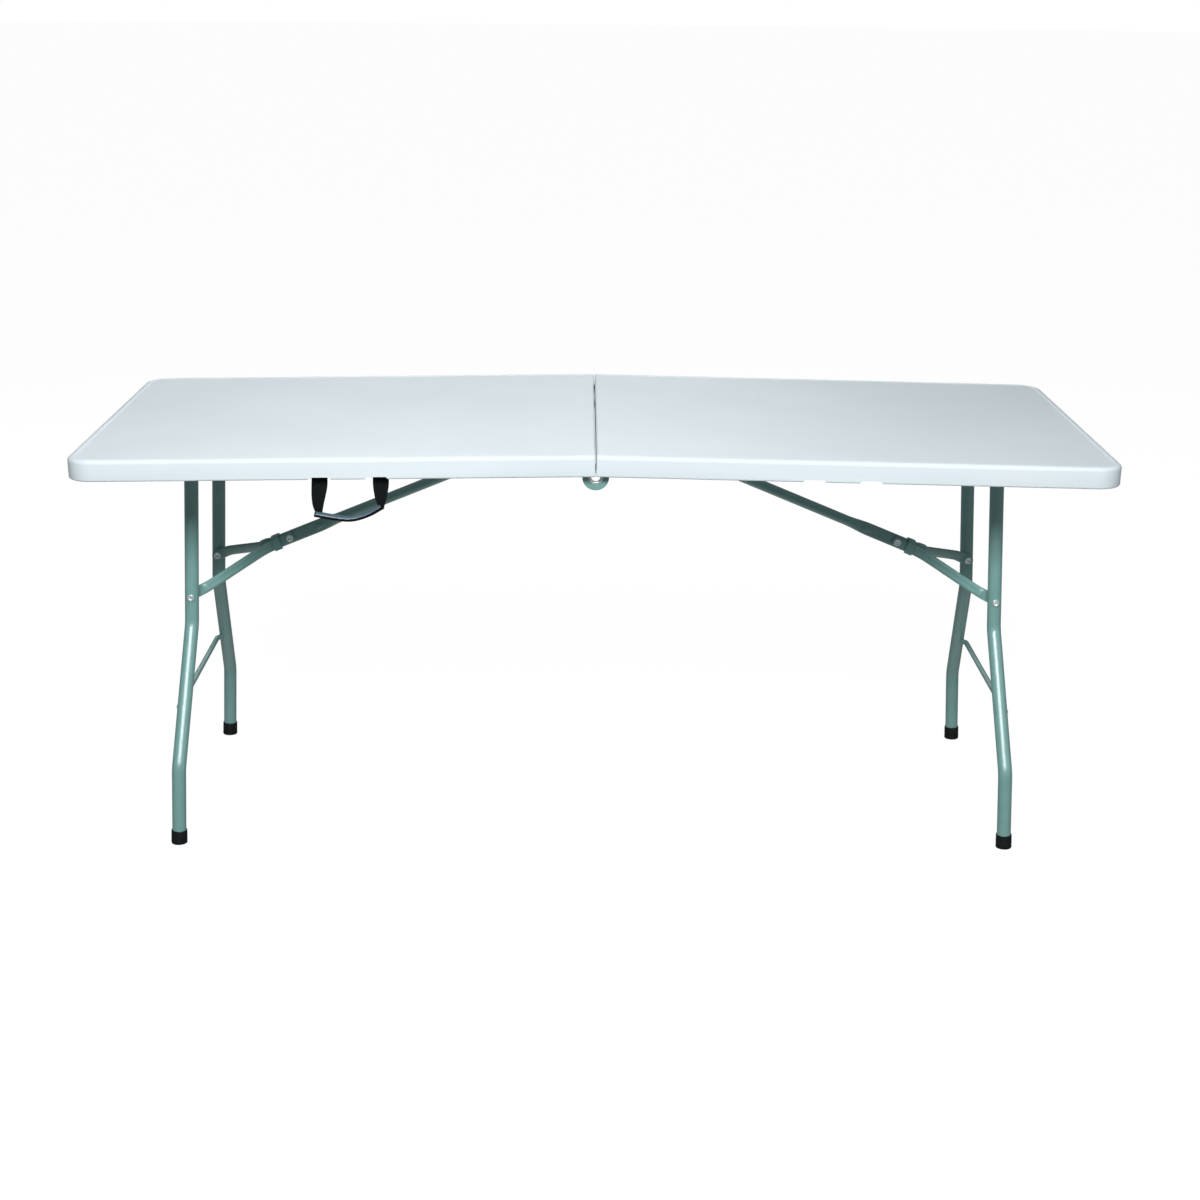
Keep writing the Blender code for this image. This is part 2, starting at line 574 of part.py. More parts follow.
def along_curve(rows, at):
    """The values at a place on the smooth curve through rows, each (place, value, ...)."""
    k = max(i for i in range(len(rows) - 1) if rows[i][0] <= at or i == 0)
    a, b = rows[k], rows[k + 1]
    before, after = rows[max(k - 1, 0)], rows[min(k + 2, len(rows) - 1)]
    span = b[0] - a[0]
    t = (at - a[0]) / span
    values = []
    for j in range(1, len(a)):
        start = (b[j] - before[j]) / (b[0] - before[0]) * span
        stop = (after[j] - a[j]) / (after[0] - a[0]) * span
        values.append(a[j] * (2 * t**3 - 3 * t**2 + 1) + start * (t**3 - 2 * t**2 + t)
                      + b[j] * (3 * t**2 - 2 * t**3) + stop * (t**3 - t**2))
    return values


def handle_strap(k, mat, home):
    """Webbing sewn round the pin, then hanging and gathered towards the grip."""
    u = STRAPS[k]
    outer, inner, t = 0.0024, 0.0011, STRAP_T / 2
    foot_u = u + STRAP_DRIFT[k] * STRAP_SHAPE[-1][2]
    drop = along_curve(GRIP_LINE, foot_u)[0] - GRIP_T / 2 - 0.0025
    lead = math.asin(t / outer)
    ring = [lead + (2 * math.pi - 2 * lead) * j / 12 for j in range(13)]
    drops = [drop * share for share in (0.2, 0.4, 0.55, 0.7, 0.85, 1.0)]
    profile = [(outer * math.sin(a), outer * math.cos(a)) for a in ring]
    profile += [(-t, d) for d in drops] + [(t, d) for d in reversed(drops)]
    sheets = []
    for s in (-1, 1):
        sheet = []
        for y, d in profile:
            width, drift = along_curve(STRAP_SHAPE, min(max(d / drop, 0.0), 1.0))
            sheet.append(handle_frame(u + STRAP_DRIFT[k] * drift + s * STRAP_W / 2 * width, y, d))
        sheets.append(sheet)
    ob = prism(f"handle_strap_{k + 1}", sheets, mat, home)
    along = handle_frame(u + 1, 0, 0) - handle_frame(u, 0, 0)
    drill(ob, f"strap_drill_{k + 1}", handle_frame(u, 0, 0), along, inner, 0.030, 12)


def handle_grip(mat, home):
    """A flattened grip that sags between the straps."""
    first, last = GRIP_LINE[0][0], GRIP_LINE[-1][0]
    steps, loops = 14, []
    for k in range(steps + 1):
        u = first + (last - first) * k / steps
        drop = along_curve(GRIP_LINE, u)[0]
        before, after = max(u - 0.001, first), min(u + 0.001, last)
        slope = math.atan2(along_curve(GRIP_LINE, after)[0] - along_curve(GRIP_LINE, before)[0], after - before)
        size = 0.75 if k in (0, steps) else 1.0
        loop = []
        for j in range(14):
            t = 2 * math.pi * j / 14
            out, d = GRIP_W / 2 * size * math.cos(t), GRIP_T / 2 * size * math.sin(t)
            loop.append(handle_frame(u - d * math.sin(slope), out, drop + d * math.cos(slope)))
        loops.append(loop)
    make("handle_grip", *skin(loops), mat, home, smooth=True)


def handle(webbing, grip_mat, steel):
    home = handle_frame(sum(STRAPS) / 2, 0, 0)
    for k, u in enumerate(STRAPS):
        handle_anchor(k + 1, u, steel)
        handle_strap(k, webbing, home)
    handle_grip(grip_mat, home)


def build():
    clear_scene()
    white = material("white_plastic", (0.80, 0.82, 0.83), 0.45)
    steel = material("green_grey_steel", (0.22, 0.31, 0.30), 0.35, 0.3)
    zinc = material("zinc", (0.70, 0.72, 0.72), 0.3, 1.0)
    rubber = material("black_rubber", (0.02, 0.02, 0.02), 0.6)
    webbing = material("black_webbing", (0.015, 0.015, 0.017), 0.8)
    grip = material("dark_grip", (0.05, 0.06, 0.08), 0.3)
    for name in SIDES:
        top_half(name, white)
        brace_mount(name, steel)
        leg_frame(name, steel, rubber, zinc)
        brace_link(name, steel)
        knee_rivet(name, zinc)
        lock_ring(name, steel)
        for end in ENDS:
            rail(name, end, steel, zinc)
            hinge_plate(name, end, steel)
            brace_arm(name, end, steel)
    for end in ENDS:
        hinge_eyelet(end, zinc)
    handle(webbing, grip, steel)


build()
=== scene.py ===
"""The looks of the fold-in-half table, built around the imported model."""

import json
import math

import bmesh
import bpy
import numpy as np
from mathutils import Matrix, Vector

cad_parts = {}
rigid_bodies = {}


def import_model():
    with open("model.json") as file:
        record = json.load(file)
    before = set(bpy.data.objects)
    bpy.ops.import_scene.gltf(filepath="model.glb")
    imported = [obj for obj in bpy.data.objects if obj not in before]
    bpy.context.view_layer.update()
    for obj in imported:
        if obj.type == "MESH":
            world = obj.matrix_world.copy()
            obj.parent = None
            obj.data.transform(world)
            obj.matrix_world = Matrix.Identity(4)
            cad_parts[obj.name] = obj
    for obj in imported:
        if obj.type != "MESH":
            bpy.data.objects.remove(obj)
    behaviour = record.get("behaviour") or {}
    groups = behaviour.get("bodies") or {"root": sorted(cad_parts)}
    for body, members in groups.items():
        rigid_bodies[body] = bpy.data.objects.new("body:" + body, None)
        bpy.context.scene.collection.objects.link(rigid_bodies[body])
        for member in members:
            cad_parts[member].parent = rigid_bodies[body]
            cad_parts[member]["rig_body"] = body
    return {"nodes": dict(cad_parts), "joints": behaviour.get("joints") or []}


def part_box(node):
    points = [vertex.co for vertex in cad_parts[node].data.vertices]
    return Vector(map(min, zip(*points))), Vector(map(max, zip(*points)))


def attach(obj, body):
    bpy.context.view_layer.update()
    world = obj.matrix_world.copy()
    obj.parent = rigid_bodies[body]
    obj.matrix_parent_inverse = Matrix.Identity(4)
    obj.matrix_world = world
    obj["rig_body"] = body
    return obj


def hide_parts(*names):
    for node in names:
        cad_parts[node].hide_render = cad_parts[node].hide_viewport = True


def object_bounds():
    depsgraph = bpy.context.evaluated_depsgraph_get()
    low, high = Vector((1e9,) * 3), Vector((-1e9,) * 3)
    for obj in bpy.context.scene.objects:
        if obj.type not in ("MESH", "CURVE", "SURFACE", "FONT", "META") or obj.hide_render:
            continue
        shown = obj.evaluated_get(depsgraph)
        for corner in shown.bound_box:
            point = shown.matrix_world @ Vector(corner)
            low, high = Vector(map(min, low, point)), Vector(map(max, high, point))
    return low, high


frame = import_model()
CAD_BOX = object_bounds()
JOINTS = {j["name"]: j for j in frame["joints"]}

# ---- places, read from the frame (metres) ----
SEAM_Z = CAD_BOX[1].z + 0.00004
HALF_WIDTH = CAD_BOX[1].y
HINGE_Z = JOINTS["table_fold"]["pos_m"][2]
LEG_PIVOT = Vector(JOINTS["legs_right_fold"]["pos_m"])
LINK_PIVOT = Vector(JOINTS["link_right_swing"]["pos_m"])
KNEE_POINT = Vector(JOINTS["knee_right"]["pos_m"])
HANDLE_AT = Vector(JOINTS["handle_swing"]["pos_m"])

# ---- sizes (metres) ----
HALF_LENGTH = 0.9
CAMBER = math.radians(1.0)
SEAM_GAP = 0.0004
CORNER_R = 0.047
RIM_DEPTH = 0.038
RIM_WALL = 0.0178
SEAM_WALL = 0.006
PLATE = 0.0085
SKIN = 0.0030
NOTCHES = (0.3708, 0.4674)
NOTCH_WIDTHS = (0.0325, 0.0425)
NOTCH_DEPTH = 0.0045

RIM_FOOT_ROUND = 0.0034
# how far the rim's inner foot stands back from the rim's and the seam's wall, and above the lowest point
RIM_FOOT_LAYERS = ((0.0, 0.0, 0.0012), (0.0004, 0.0003, 0.0003), (0.0012, 0.0008, 0.0))
# the rim's rounded upper edge: inset and height where it starts and where it ends
SHOULDER = (0.0, -0.0080, 0.0066, -0.0006)
LIP_LAYERS = (   # the raised lip and the step down to the surface: inset, inset at the seam, height
    (0.0078, 0.0010, -0.0002), (0.0088, 0.0012, 0.0), (0.0110, 0.0016, 0.0), (0.0122, 0.0019, -0.0003),
    (0.0134, 0.0022, -0.0008), (0.0144, 0.0025, -0.0010), (0.0190, 0.0040, -0.0010),
)
NOTCH_Y = (-0.380, -0.3495)
HINGE_POCKET_U = (-0.002, 0.0090)
HINGE_POCKET_W = (-0.045, -0.0165)
HINGE_POCKET_Y = (0.3405, 0.3532)
DIMPLE_PITCH = 0.0415
DIMPLE_R = 0.0085
DIMPLE_DEPTH = 0.0036
UNDER_STEP = 0.0046

CLEARANCE = 0.0003   # between a hole and what goes through it
LEG_R = 0.0127
LEG_WALL = 0.0016
PIVOT_TUBE_R = 0.011
PIVOT_TUBE_WALL = 0.0018
FOOT_X = 0.7556
LEG_TOP_Y = 0.1447
LEG_FOOT_Y = 0.2811
BEND_HIGH = 0.338
BEND_LOW = 0.5712
BEND_R = 0.042
FOOT_CAP_R = 0.0146
FOOT_CAP_H = 0.026
FOOT_CAP_FLOOR = 0.0052
FOOT_RIB_FIRST = 0.0065
FOOT_RIB_PITCH = 0.0032
CROSSBAR_AT = 0.481
CROSSBAR_R = 0.005
CROSSBAR_OUT = 0.0135
CROSSBAR_END_OUT = 0.0060
CROSSBAR_BEND = 0.030
CROSSBAR_INTO_TUBE = 0.003
LEG_RIVET_AT = 0.2849
RIVET_R = 0.004
RIVET_HEAD_R = 0.0068
KNEE_HEAD_H = 0.0015
ARM_HEAD_H = 0.0024
LEG_HEAD_H = 0.0027
WELD_R = 0.0009
WELD_RIPPLE = 0.00018

LINK_R = 0.0095
FLAT_HALF = 0.0122
LINK_FLAT_T = 0.0045
LINK_EYE_T = 0.0048
LINK_TIP = 0.060
TIP_HALF = 0.0095
TIP_RISE = 0.0050
TIP_SLANT = 0.36
TIP_HOLE_AT = 0.049
EYE_HOLE_R = 0.0048
LINK_SWELL = (0.016, 0.040)     # from the eye: where the flat end swells to the round tube
LINK_PRESS = (0.108, 0.056)     # before the knee: where the tube is pressed flat
LINK_BLADE = (0.033, 0.045)     # past the knee: where the blade narrows to its tip
BOSS_BACK = 0.0629
BOSS_LAYERS = (   # size, and height from the link's middle
    (1.0, 0.0030), (1.0, 0.0052), (0.92, 0.0062), (0.72, 0.0068), (0.4, 0.0070),
)
BOSS_END = 0.0058
BOSS_STRAIGHT = 0.0045
BOSS_HALF = 0.0050
ARM_HALF = 0.0097
ARM_T = 0.0072
ARM_EYE = 0.0104
ARM_FLAT_T = 0.0024
GROOVE_DEPTH = 0.0016
GROOVE_HALF = 0.42   # as a share of the arm's half height
RING_AT = 0.0265
RING_LENGTH = 0.0155
RING_WALL = 0.0014
RING_FOOT = 0.0130
RING_EDGE = 0.0006
RING_BEND_OUT = 0.0048
RING_BEND_IN = 0.0034

EYELET_BORE = 0.0080
EYELET_BARREL = 0.0093
EYELET_LIP = 0.0013

STRAPS = (0.3652, 0.4690)
STRAP_DRIFT = (0.0014, 0.0051)
STRAP_SHAPE = (
    (0.0, 1.0, 0.0), (0.25, 1.0, 0.25), (0.5, 0.88, 0.7), (0.75, 0.66, 1.0), (1.0, 0.3, 0.72),
)
STRAP_W = 0.0272
STRAP_T = 0.0019
GRIP_LINE = (
    (0.3640, 0.0530), (0.3890, 0.0665), (0.4180, 0.0745), (0.4480, 0.0718), (0.4810, 0.0654),
)
GRIP_T = 0.0104
GRIP_W = 0.015
SLEEVE_T = 0.0016
PIN_LOOP_R = 0.0024
PIN_HOLE_R = 0.0012
PLEAT = 0.0015
STRAP_BOW = 0.0014

SIDES = {"left": -1, "right": 1}
ENDS = {"front": -1, "back": 1}
SPLAY = math.atan2(FOOT_X - LEG_PIVOT.x, LEG_PIVOT.z)
LEG_LENGTH = LEG_PIVOT.z / math.cos(SPLAY)
LINK_LENGTH = (KNEE_POINT - LINK_PIVOT).length
KNEE_STACK = LINK_FLAT_T + 0.0008 + 2 * ARM_FLAT_T


# ---- materials ----
def shader_tree(name, colour, roughness, metallic=0.0, **sockets):
    """A new material with its node tree and shader; sockets are named with underscores for spaces."""
    mat = bpy.data.materials.new(name)
    mat.use_nodes = True
    tree = mat.node_tree
    shader = tree.nodes["Principled BSDF"]
    shader.inputs["Base Color"].default_value = (*colour, 1)
    shader.inputs["Roughness"].default_value = roughness
    shader.inputs["Metallic"].default_value = metallic
    for key, value in sockets.items():
        shader.inputs[key.replace("_", " ")].default_value = value
    return mat, tree, shader


def node(tree, kind, **settings):
    """A new node, each setting put on the input of that name or on the node itself."""
    made = tree.nodes.new(kind)
    for key, value in settings.items():
        if key in made.inputs:
            made.inputs[key].default_value = value
        else:
            setattr(made, key, value)
    return made


def noise(tree, scale, detail=2.0, rough=0.5):
    """Noise in the object's own coordinates."""
    place = node(tree, "ShaderNodeTexCoord")
    made = node(tree, "ShaderNodeTexNoise", Scale=scale, Detail=detail, Roughness=rough)
    tree.links.new(place.outputs["Object"], made.inputs["Vector"])
    return made


def ramp(tree, source, stops):
    """A colour ramp over source; stops are (position, colour)."""
    made = node(tree, "ShaderNodeValToRGB")
    band = made.color_ramp
    while len(band.elements) < len(stops):
        band.elements.new(0.5)
    for element, (at, colour) in zip(band.elements, stops):
        element.position = at
        element.color = (*colour, 1)
    tree.links.new(source, made.inputs["Fac"])
    return made


def bump(tree, height, strength, distance, normal=None):
    """A bump of the given height, over normal where there is one."""
    made = node(tree, "ShaderNodeBump", Strength=strength, Distance=distance)
    tree.links.new(height, made.inputs["Height"])
    if normal is not None:
        tree.links.new(normal, made.inputs["Normal"])
    return made


def moulded_white():
    """Blow-moulded HDPE: a fine pebble grain, faint cloudiness and a soft sheen."""
    mat, tree, shader = shader_tree("white_hdpe", (0.62, 0.665, 0.69), 0.48, Specular_IOR_Level=0.28)
    cloud = noise(tree, 5.0, 3.0)
    tint = ramp(tree, cloud.outputs["Fac"], [(0.35, (0.607, 0.655, 0.680)), (0.65, (0.633, 0.678, 0.702))])
    tree.links.new(tint.outputs["Color"], shader.inputs["Base Color"])
    grain = noise(tree, 750.0, 2.0, 0.55)
    rough = ramp(tree, grain.outputs["Fac"], [(0.35, (0.43,) * 3), (0.7, (0.56,) * 3)])
    tree.links.new(rough.outputs["Color"], shader.inputs["Roughness"])
    swell = noise(tree, 22.0, 1.0)
    low = bump(tree, swell.outputs["Fac"], 0.10, 0.0015)
    fine = bump(tree, grain.outputs["Fac"], 0.32, 0.0003, low.outputs["Normal"])
    tree.links.new(fine.outputs["Normal"], shader.inputs["Normal"])
    return mat


def powder_coat():
    """Green-grey powder coat on steel: orange peel, and faint patches of tint and gloss."""
    mat, tree, shader = shader_tree("powder_coated_steel", (0.165, 0.320, 0.295), 0.34,
                                    Coat_Weight=0.90, Coat_Roughness=0.34)
    cloud = noise(tree, 30.0, 2.0)
    tint = ramp(tree, cloud.outputs["Fac"], [(0.3, (0.155, 0.302, 0.280)), (0.7, (0.175, 0.332, 0.308))])
    tree.links.new(tint.outputs["Color"], shader.inputs["Base Color"])
    scuff = noise(tree, 160.0, 4.0, 0.6)
    rough = ramp(tree, scuff.outputs["Fac"], [(0.35, (0.30,) * 3), (0.72, (0.39,) * 3)])
    tree.links.new(rough.outputs["Color"], shader.inputs["Roughness"])
    peel = noise(tree, 900.0, 1.0)
    tree.links.new(bump(tree, peel.outputs["Fac"], 0.14, 0.0002).outputs["Normal"], shader.inputs["Normal"])
    return mat


def zinc_plate():
    """Bright zinc plate, finely mottled."""
    mat, tree, shader = shader_tree("zinc_plate", (0.86, 0.93, 0.92), 0.30, 0.75)
    cloud = noise(tree, 260.0, 4.0)
    tint = ramp(tree, cloud.outputs["Fac"], [(0.3, (0.78, 0.85, 0.84)), (0.75, (0.90, 0.96, 0.95))])
    tree.links.new(tint.outputs["Color"], shader.inputs["Base Color"])
    rough = ramp(tree, cloud.outputs["Fac"], [(0.3, (0.18,) * 3), (0.7, (0.36,) * 3)])
    tree.links.new(rough.outputs["Color"], shader.inputs["Roughness"])
    tree.links.new(bump(tree, cloud.outputs["Fac"], 0.15, 0.0002).outputs["Normal"], shader.inputs["Normal"])
    return mat


def black_rubber():
    """Moulded rubber with a matt grain and a dusty bloom."""
    mat, tree, shader = shader_tree("black_rubber", (0.008, 0.011, 0.011), 0.60, Specular_IOR_Level=0.25)
    bloom = noise(tree, 120.0, 4.0)
    tint = ramp(tree, bloom.outputs["Fac"], [(0.4, (0.003, 0.004, 0.004)), (0.8, (0.008, 0.010, 0.010))])
    tree.links.new(tint.outputs["Color"], shader.inputs["Base Color"])
    grain = noise(tree, 1400.0, 2.0)
    tree.links.new(bump(tree, grain.outputs["Fac"], 0.3, 0.0002).outputs["Normal"], shader.inputs["Normal"])
    return mat


def webbing():
    """Black polypropylene webbing: a weave with ribs along the strap."""
    mat, tree, shader = shader_tree("black_webbing", (0.005, 0.007, 0.007), 0.75, Specular_IOR_Level=0.15)
    place = node(tree, "ShaderNodeTexCoord")
    heights = []
    for direction, scale in (("X", 420.0), ("Z", 520.0)):
        wave = node(tree, "ShaderNodeTexWave", bands_direction=direction, Scale=scale, Distortion=0.4)
        tree.links.new(place.outputs["Object"], wave.inputs["Vector"])
        heights.append(wave.outputs["Fac"])
    both = node(tree, "ShaderNodeMath", operation="MULTIPLY")
    tree.links.new(heights[0], both.inputs[0])
    tree.links.new(heights[1], both.inputs[1])
    tint = ramp(tree, both.outputs["Value"], [(0.0, (0.002, 0.003, 0.003)), (1.0, (0.009, 0.012, 0.012))])
    tree.links.new(tint.outputs["Color"], shader.inputs["Base Color"])
    tree.links.new(bump(tree, both.outputs["Value"], 0.6, 0.0004).outputs["Normal"], shader.inputs["Normal"])
    return mat


def grip_blue():
    """Soft blue-grey PVC sleeve, a little shiny on its crown."""
    mat, tree, shader = shader_tree("grip_blue_grey", (0.060, 0.100, 0.130), 0.36)
    cloud = noise(tree, 90.0, 3.0)
    tint = ramp(tree, cloud.outputs["Fac"], [(0.35, (0.052, 0.088, 0.115)), (0.7, (0.070, 0.116, 0.150))])
    tree.links.new(tint.outputs["Color"], shader.inputs["Base Color"])
    grain = noise(tree, 1100.0, 2.0)
    tree.links.new(bump(tree, grain.outputs["Fac"], 0.25, 0.0002).outputs["Normal"], shader.inputs["Normal"])
    return mat


WHITE, STEEL, ZINC = moulded_white(), powder_coat(), zinc_plate()
RUBBER, WEBBING, GRIP = black_rubber(), webbing(), grip_blue()


# ---- frames ----
def half_point(side, u, y, w):
    """A point of one half: u from the seam, w above the surface, turned by the camber about the hinge."""
    z = w + SEAM_Z - HINGE_Z
    x = u * math.cos(CAMBER) + z * math.sin(CAMBER)
    return Vector((side * x, y, HINGE_Z - u * math.sin(CAMBER) + z * math.cos(CAMBER)))


def leg_point(side, r, y, n=0.0):
    """A point of a leg frame: r down the leg, n outward from its plane."""
    x = LEG_PIVOT.x + r * math.sin(SPLAY) + n * math.cos(SPLAY)
    return Vector((side * x, y, LEG_PIVOT.z - r * math.cos(SPLAY) + n * math.sin(SPLAY)))


def leg_axes(side):
    """Unit vectors outward from a leg frame's plane and down its legs."""
    top = leg_point(side, 0, 0)
    return (leg_point(side, 0, 0, 1) - top).normalized(), (leg_point(side, 1, 0) - top).normalized()


def brace_point(side, start, end, s, y, h):
    """A point of a brace member: s from start towards end, h square to it, upward."""
    along = (end - start).normalized()
    rise = Vector((-along.z, 0, along.x))
    p = start + along * s + rise * h
    return Vector((side * p.x, y, p.z))


def link_point(side, s, y, h, slant=0.0):
    """A point of the link: s from its pivot towards the knee, set back by slant above the tip's middle."""
    return brace_point(side, LINK_PIVOT, KNEE_POINT, s - slant * (h - TIP_RISE), y, h)


def handle_point(u, out, down):
    """A point by the handle: u from the seam, out towards the front and down from the pivot line."""
    z = HANDLE_AT.z - HINGE_Z
    x = -HANDLE_AT.x
    w = z * math.cos(CAMBER) + x * math.sin(CAMBER) - (SEAM_Z - HINGE_Z)
    return half_point(-1, u, HANDLE_AT.y - out, w - down)


# ---- mesh building ----
def make(name, verts, faces, mat, body, replaced=(), sharp=35.0):
    """A piece from its mesh, riding on body; without mat it is only a tool for a cut."""
    mesh = bpy.data.meshes.new(name)
    mesh.from_pydata([Vector(v) for v in verts], [], faces)
    bm = bmesh.new()
    bm.from_mesh(mesh)
    bmesh.ops.remove_doubles(bm, verts=bm.verts, dist=1e-6)
    bmesh.ops.recalc_face_normals(bm, faces=bm.faces)
    bm.to_mesh(mesh)
    bm.free()
    mesh.shade_smooth()
    mesh.set_sharp_from_angle(angle=math.radians(sharp))
    ob = bpy.data.objects.new(name, mesh)
    bpy.context.scene.collection.objects.link(ob)
    if mat is not None:
        mesh.materials.append(mat)
        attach(ob, body)
        if replaced:
            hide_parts(*replaced)
    return ob


def skin(loops, wrap=False, caps=True):
    """Vertices and faces over matching loops: capped at both ends, or joined round when wrap."""
    n = len(loops[0])
    verts = [p for loop in loops for p in loop]
    last = len(loops) if wrap else len(loops) - 1
    faces = []
    for i in range(last):
        a, b = i * n, (i + 1) % len(loops) * n
        faces += [(a + k, a + (k + 1) % n, b + (k + 1) % n, b + k) for k in range(n)]
    if caps and not wrap:
        faces += [tuple(range(n)), tuple(range(last * n, last * n + n))]
    return verts, faces


def round_loop(centre, a, b, r, sides):
    """A circle of points in the plane of a and b."""
    turn = 2 * math.pi / sides
    return [centre + r * (math.cos(k * turn) * a + math.sin(k * turn) * b) for k in range(sides)]


def revolved(name, stations, start, along, mat, body, replaced=(), sides=48, wrap=False):
    """A turned piece: stations are (distance along the axis, radius)."""
    along = Vector(along).normalized()
    a = along.orthogonal().normalized()
    b = along.cross(a)
    loops = [round_loop(Vector(start) + d * along, a, b, r, sides) for d, r in stations]
    return make(name, *skin(loops, wrap), mat, body, replaced)


def eased(t):
    """A share of 0 to 1, with a smooth start and end."""
    return t * t * (3 - 2 * t)


def cut(ob, tool):
    """Takes tool's shape out of ob, for good."""
    mod = ob.modifiers.new("cut", "BOOLEAN")
    mod.solver = "EXACT"
    mod.object = tool
    bpy.context.view_layer.update()
    done = bpy.data.meshes.new_from_object(ob.evaluated_get(bpy.context.evaluated_depsgraph_get()))
    ob.modifiers.remove(mod)
    ob.data = done
    bpy.data.objects.remove(tool)


def drill(ob, centre, along, r, reach, sides=32):
    """A round hole through ob, reach to either side of centre."""
    start = Vector(centre) - Vector(along).normalized() * reach
    cut(ob, revolved("drill", [(0, r), (2 * reach, r)], start, along, None, None, sides=sides))


def resharpen(ob, sharp=35.0):
    """Smooth shading again after a cut, sharp beyond the angle in degrees."""
    ob.data.shade_smooth()
    ob.data.set_sharp_from_angle(angle=math.radians(sharp))


def refined(name, width, mat, segments=2):
    """A CAD node's shape again, its flat faces whole and its edges softened by width."""
    cad = frame["nodes"][name]
    mesh = cad.data.copy()
    bm = bmesh.new()
    bm.from_mesh(mesh)
    bmesh.ops.remove_doubles(bm, verts=bm.verts, dist=1e-6)
    bmesh.ops.dissolve_limit(bm, angle_limit=math.radians(2), verts=bm.verts, edges=bm.edges)
    edges = [e for e in bm.edges if len(e.link_faces) == 2 and e.calc_face_angle(0) > math.radians(35)]
    bmesh.ops.bevel(bm, geom=edges, offset=width, segments=segments, profile=0.6, affect="EDGES",
                    clamp_overlap=True)
    bm.to_mesh(mesh)
    bm.free()
    mesh.materials.clear()
    mesh.materials.append(mat)
    ob = bpy.data.objects.new(f"{name}_piece", mesh)
    bpy.context.scene.collection.objects.link(ob)
    resharpen(ob)
    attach(ob, cad["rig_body"])
    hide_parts(name)
    return ob


# ---- top ----
def top_loop(side, inset, seam_inset, w, steps=20):
    """Outline of a half at depth w, drawn in from its edges by the insets."""
    u0, u1 = SEAM_GAP + seam_inset, HALF_LENGTH - inset
    v = HALF_WIDTH - inset
    outer_r = max(CORNER_R - inset, 0.012)
    loop = []
    for corner_u, corner_v, first, r, count in (
        (u0, -v, 180, 0.003, 6), (u1, -v, 270, outer_r, steps),
        (u1, v, 0, outer_r, steps), (u0, v, 90, 0.003, 6),
    ):
        cu = corner_u + r if corner_u == u0 else corner_u - r
        cv = corner_v + r if corner_v < 0 else corner_v - r
        for k in range(count + 1):
            t = math.radians(first + 90 * k / count)
            loop.append(half_point(side, cu + r * math.cos(t), cv + r * math.sin(t), w))
    return loop


def arc_layers(inset0, w0, inset1, w1, seam0, seam1, steps):
    """Layers that round off an edge along a quarter ellipse."""
    layers = []
    for k in range(steps + 1):
        t = math.radians(90 * k / steps)
        inset, seam = (a + (b - a) * (1 - math.cos(t)) for a, b in ((inset0, inset1), (seam0, seam1)))
        layers.append((inset, seam, w0 + (w1 - w0) * math.sin(t)))
    return layers


def top_layers():
    """Layers of a half: from under its skin down inside the rim, round its foot and up to the lip."""
    low = -RIM_DEPTH
    layers = [(RIM_WALL + 0.006, SEAM_WALL + 0.002, w) for w in (-SKIN, -PLATE)]
    layers += [(RIM_WALL + 0.0015, SEAM_WALL + 0.0005, -PLATE - 0.002)]
    layers += [(RIM_WALL, SEAM_WALL, -PLATE - 0.006)]
    layers += [(RIM_WALL - rim, SEAM_WALL - seam, low + up) for rim, seam, up in RIM_FOOT_LAYERS]
    layers += [(RIM_FOOT_ROUND, 0.0010, low)]
    layers += arc_layers(0.0, low + RIM_FOOT_ROUND, RIM_FOOT_ROUND, low, 0.0, 0.0009, 5)[::-1][1:]
    layers += arc_layers(*SHOULDER, 0.0, 0.0008, 8)
    return layers + list(LIP_LAYERS)


def cut_prism(ob, side, corners, ends):
    """Takes a prism out of a half: corners are (u, w), and ends its two y."""
    sheets = [[half_point(side, u, y, w) for u, w in corners] for y in ends]
    cut(ob, make("tool", *skin(sheets), None, None))


def top_half(name):
    """A moulded half: the surface, its lip and rim, two notches in the front rim and the hinge's pockets."""
    side = SIDES[name]
    loops = [top_loop(side, *layer) for layer in top_layers()]
    ob = make(f"top_{name}_moulding", *skin(loops), WHITE, f"{name}_half", [f"top_{name}"])
    top, foot = (width / 2 for width in NOTCH_WIDTHS)
    w0, w1 = -RIM_DEPTH + NOTCH_DEPTH, -RIM_DEPTH - 0.002
    for at in NOTCHES:
        cut_prism(ob, side, [(at - top, w0), (at + top, w0), (at + foot, w1), (at - foot, w1)], NOTCH_Y)
    (u0, u1), (low, high) = HINGE_POCKET_U, HINGE_POCKET_W
    for s in ENDS.values():
        cut_prism(ob, side, [(u0, low), (u1, low), (u1, high), (u0, high)], [s * y for y in HINGE_POCKET_Y])
    resharpen(ob)


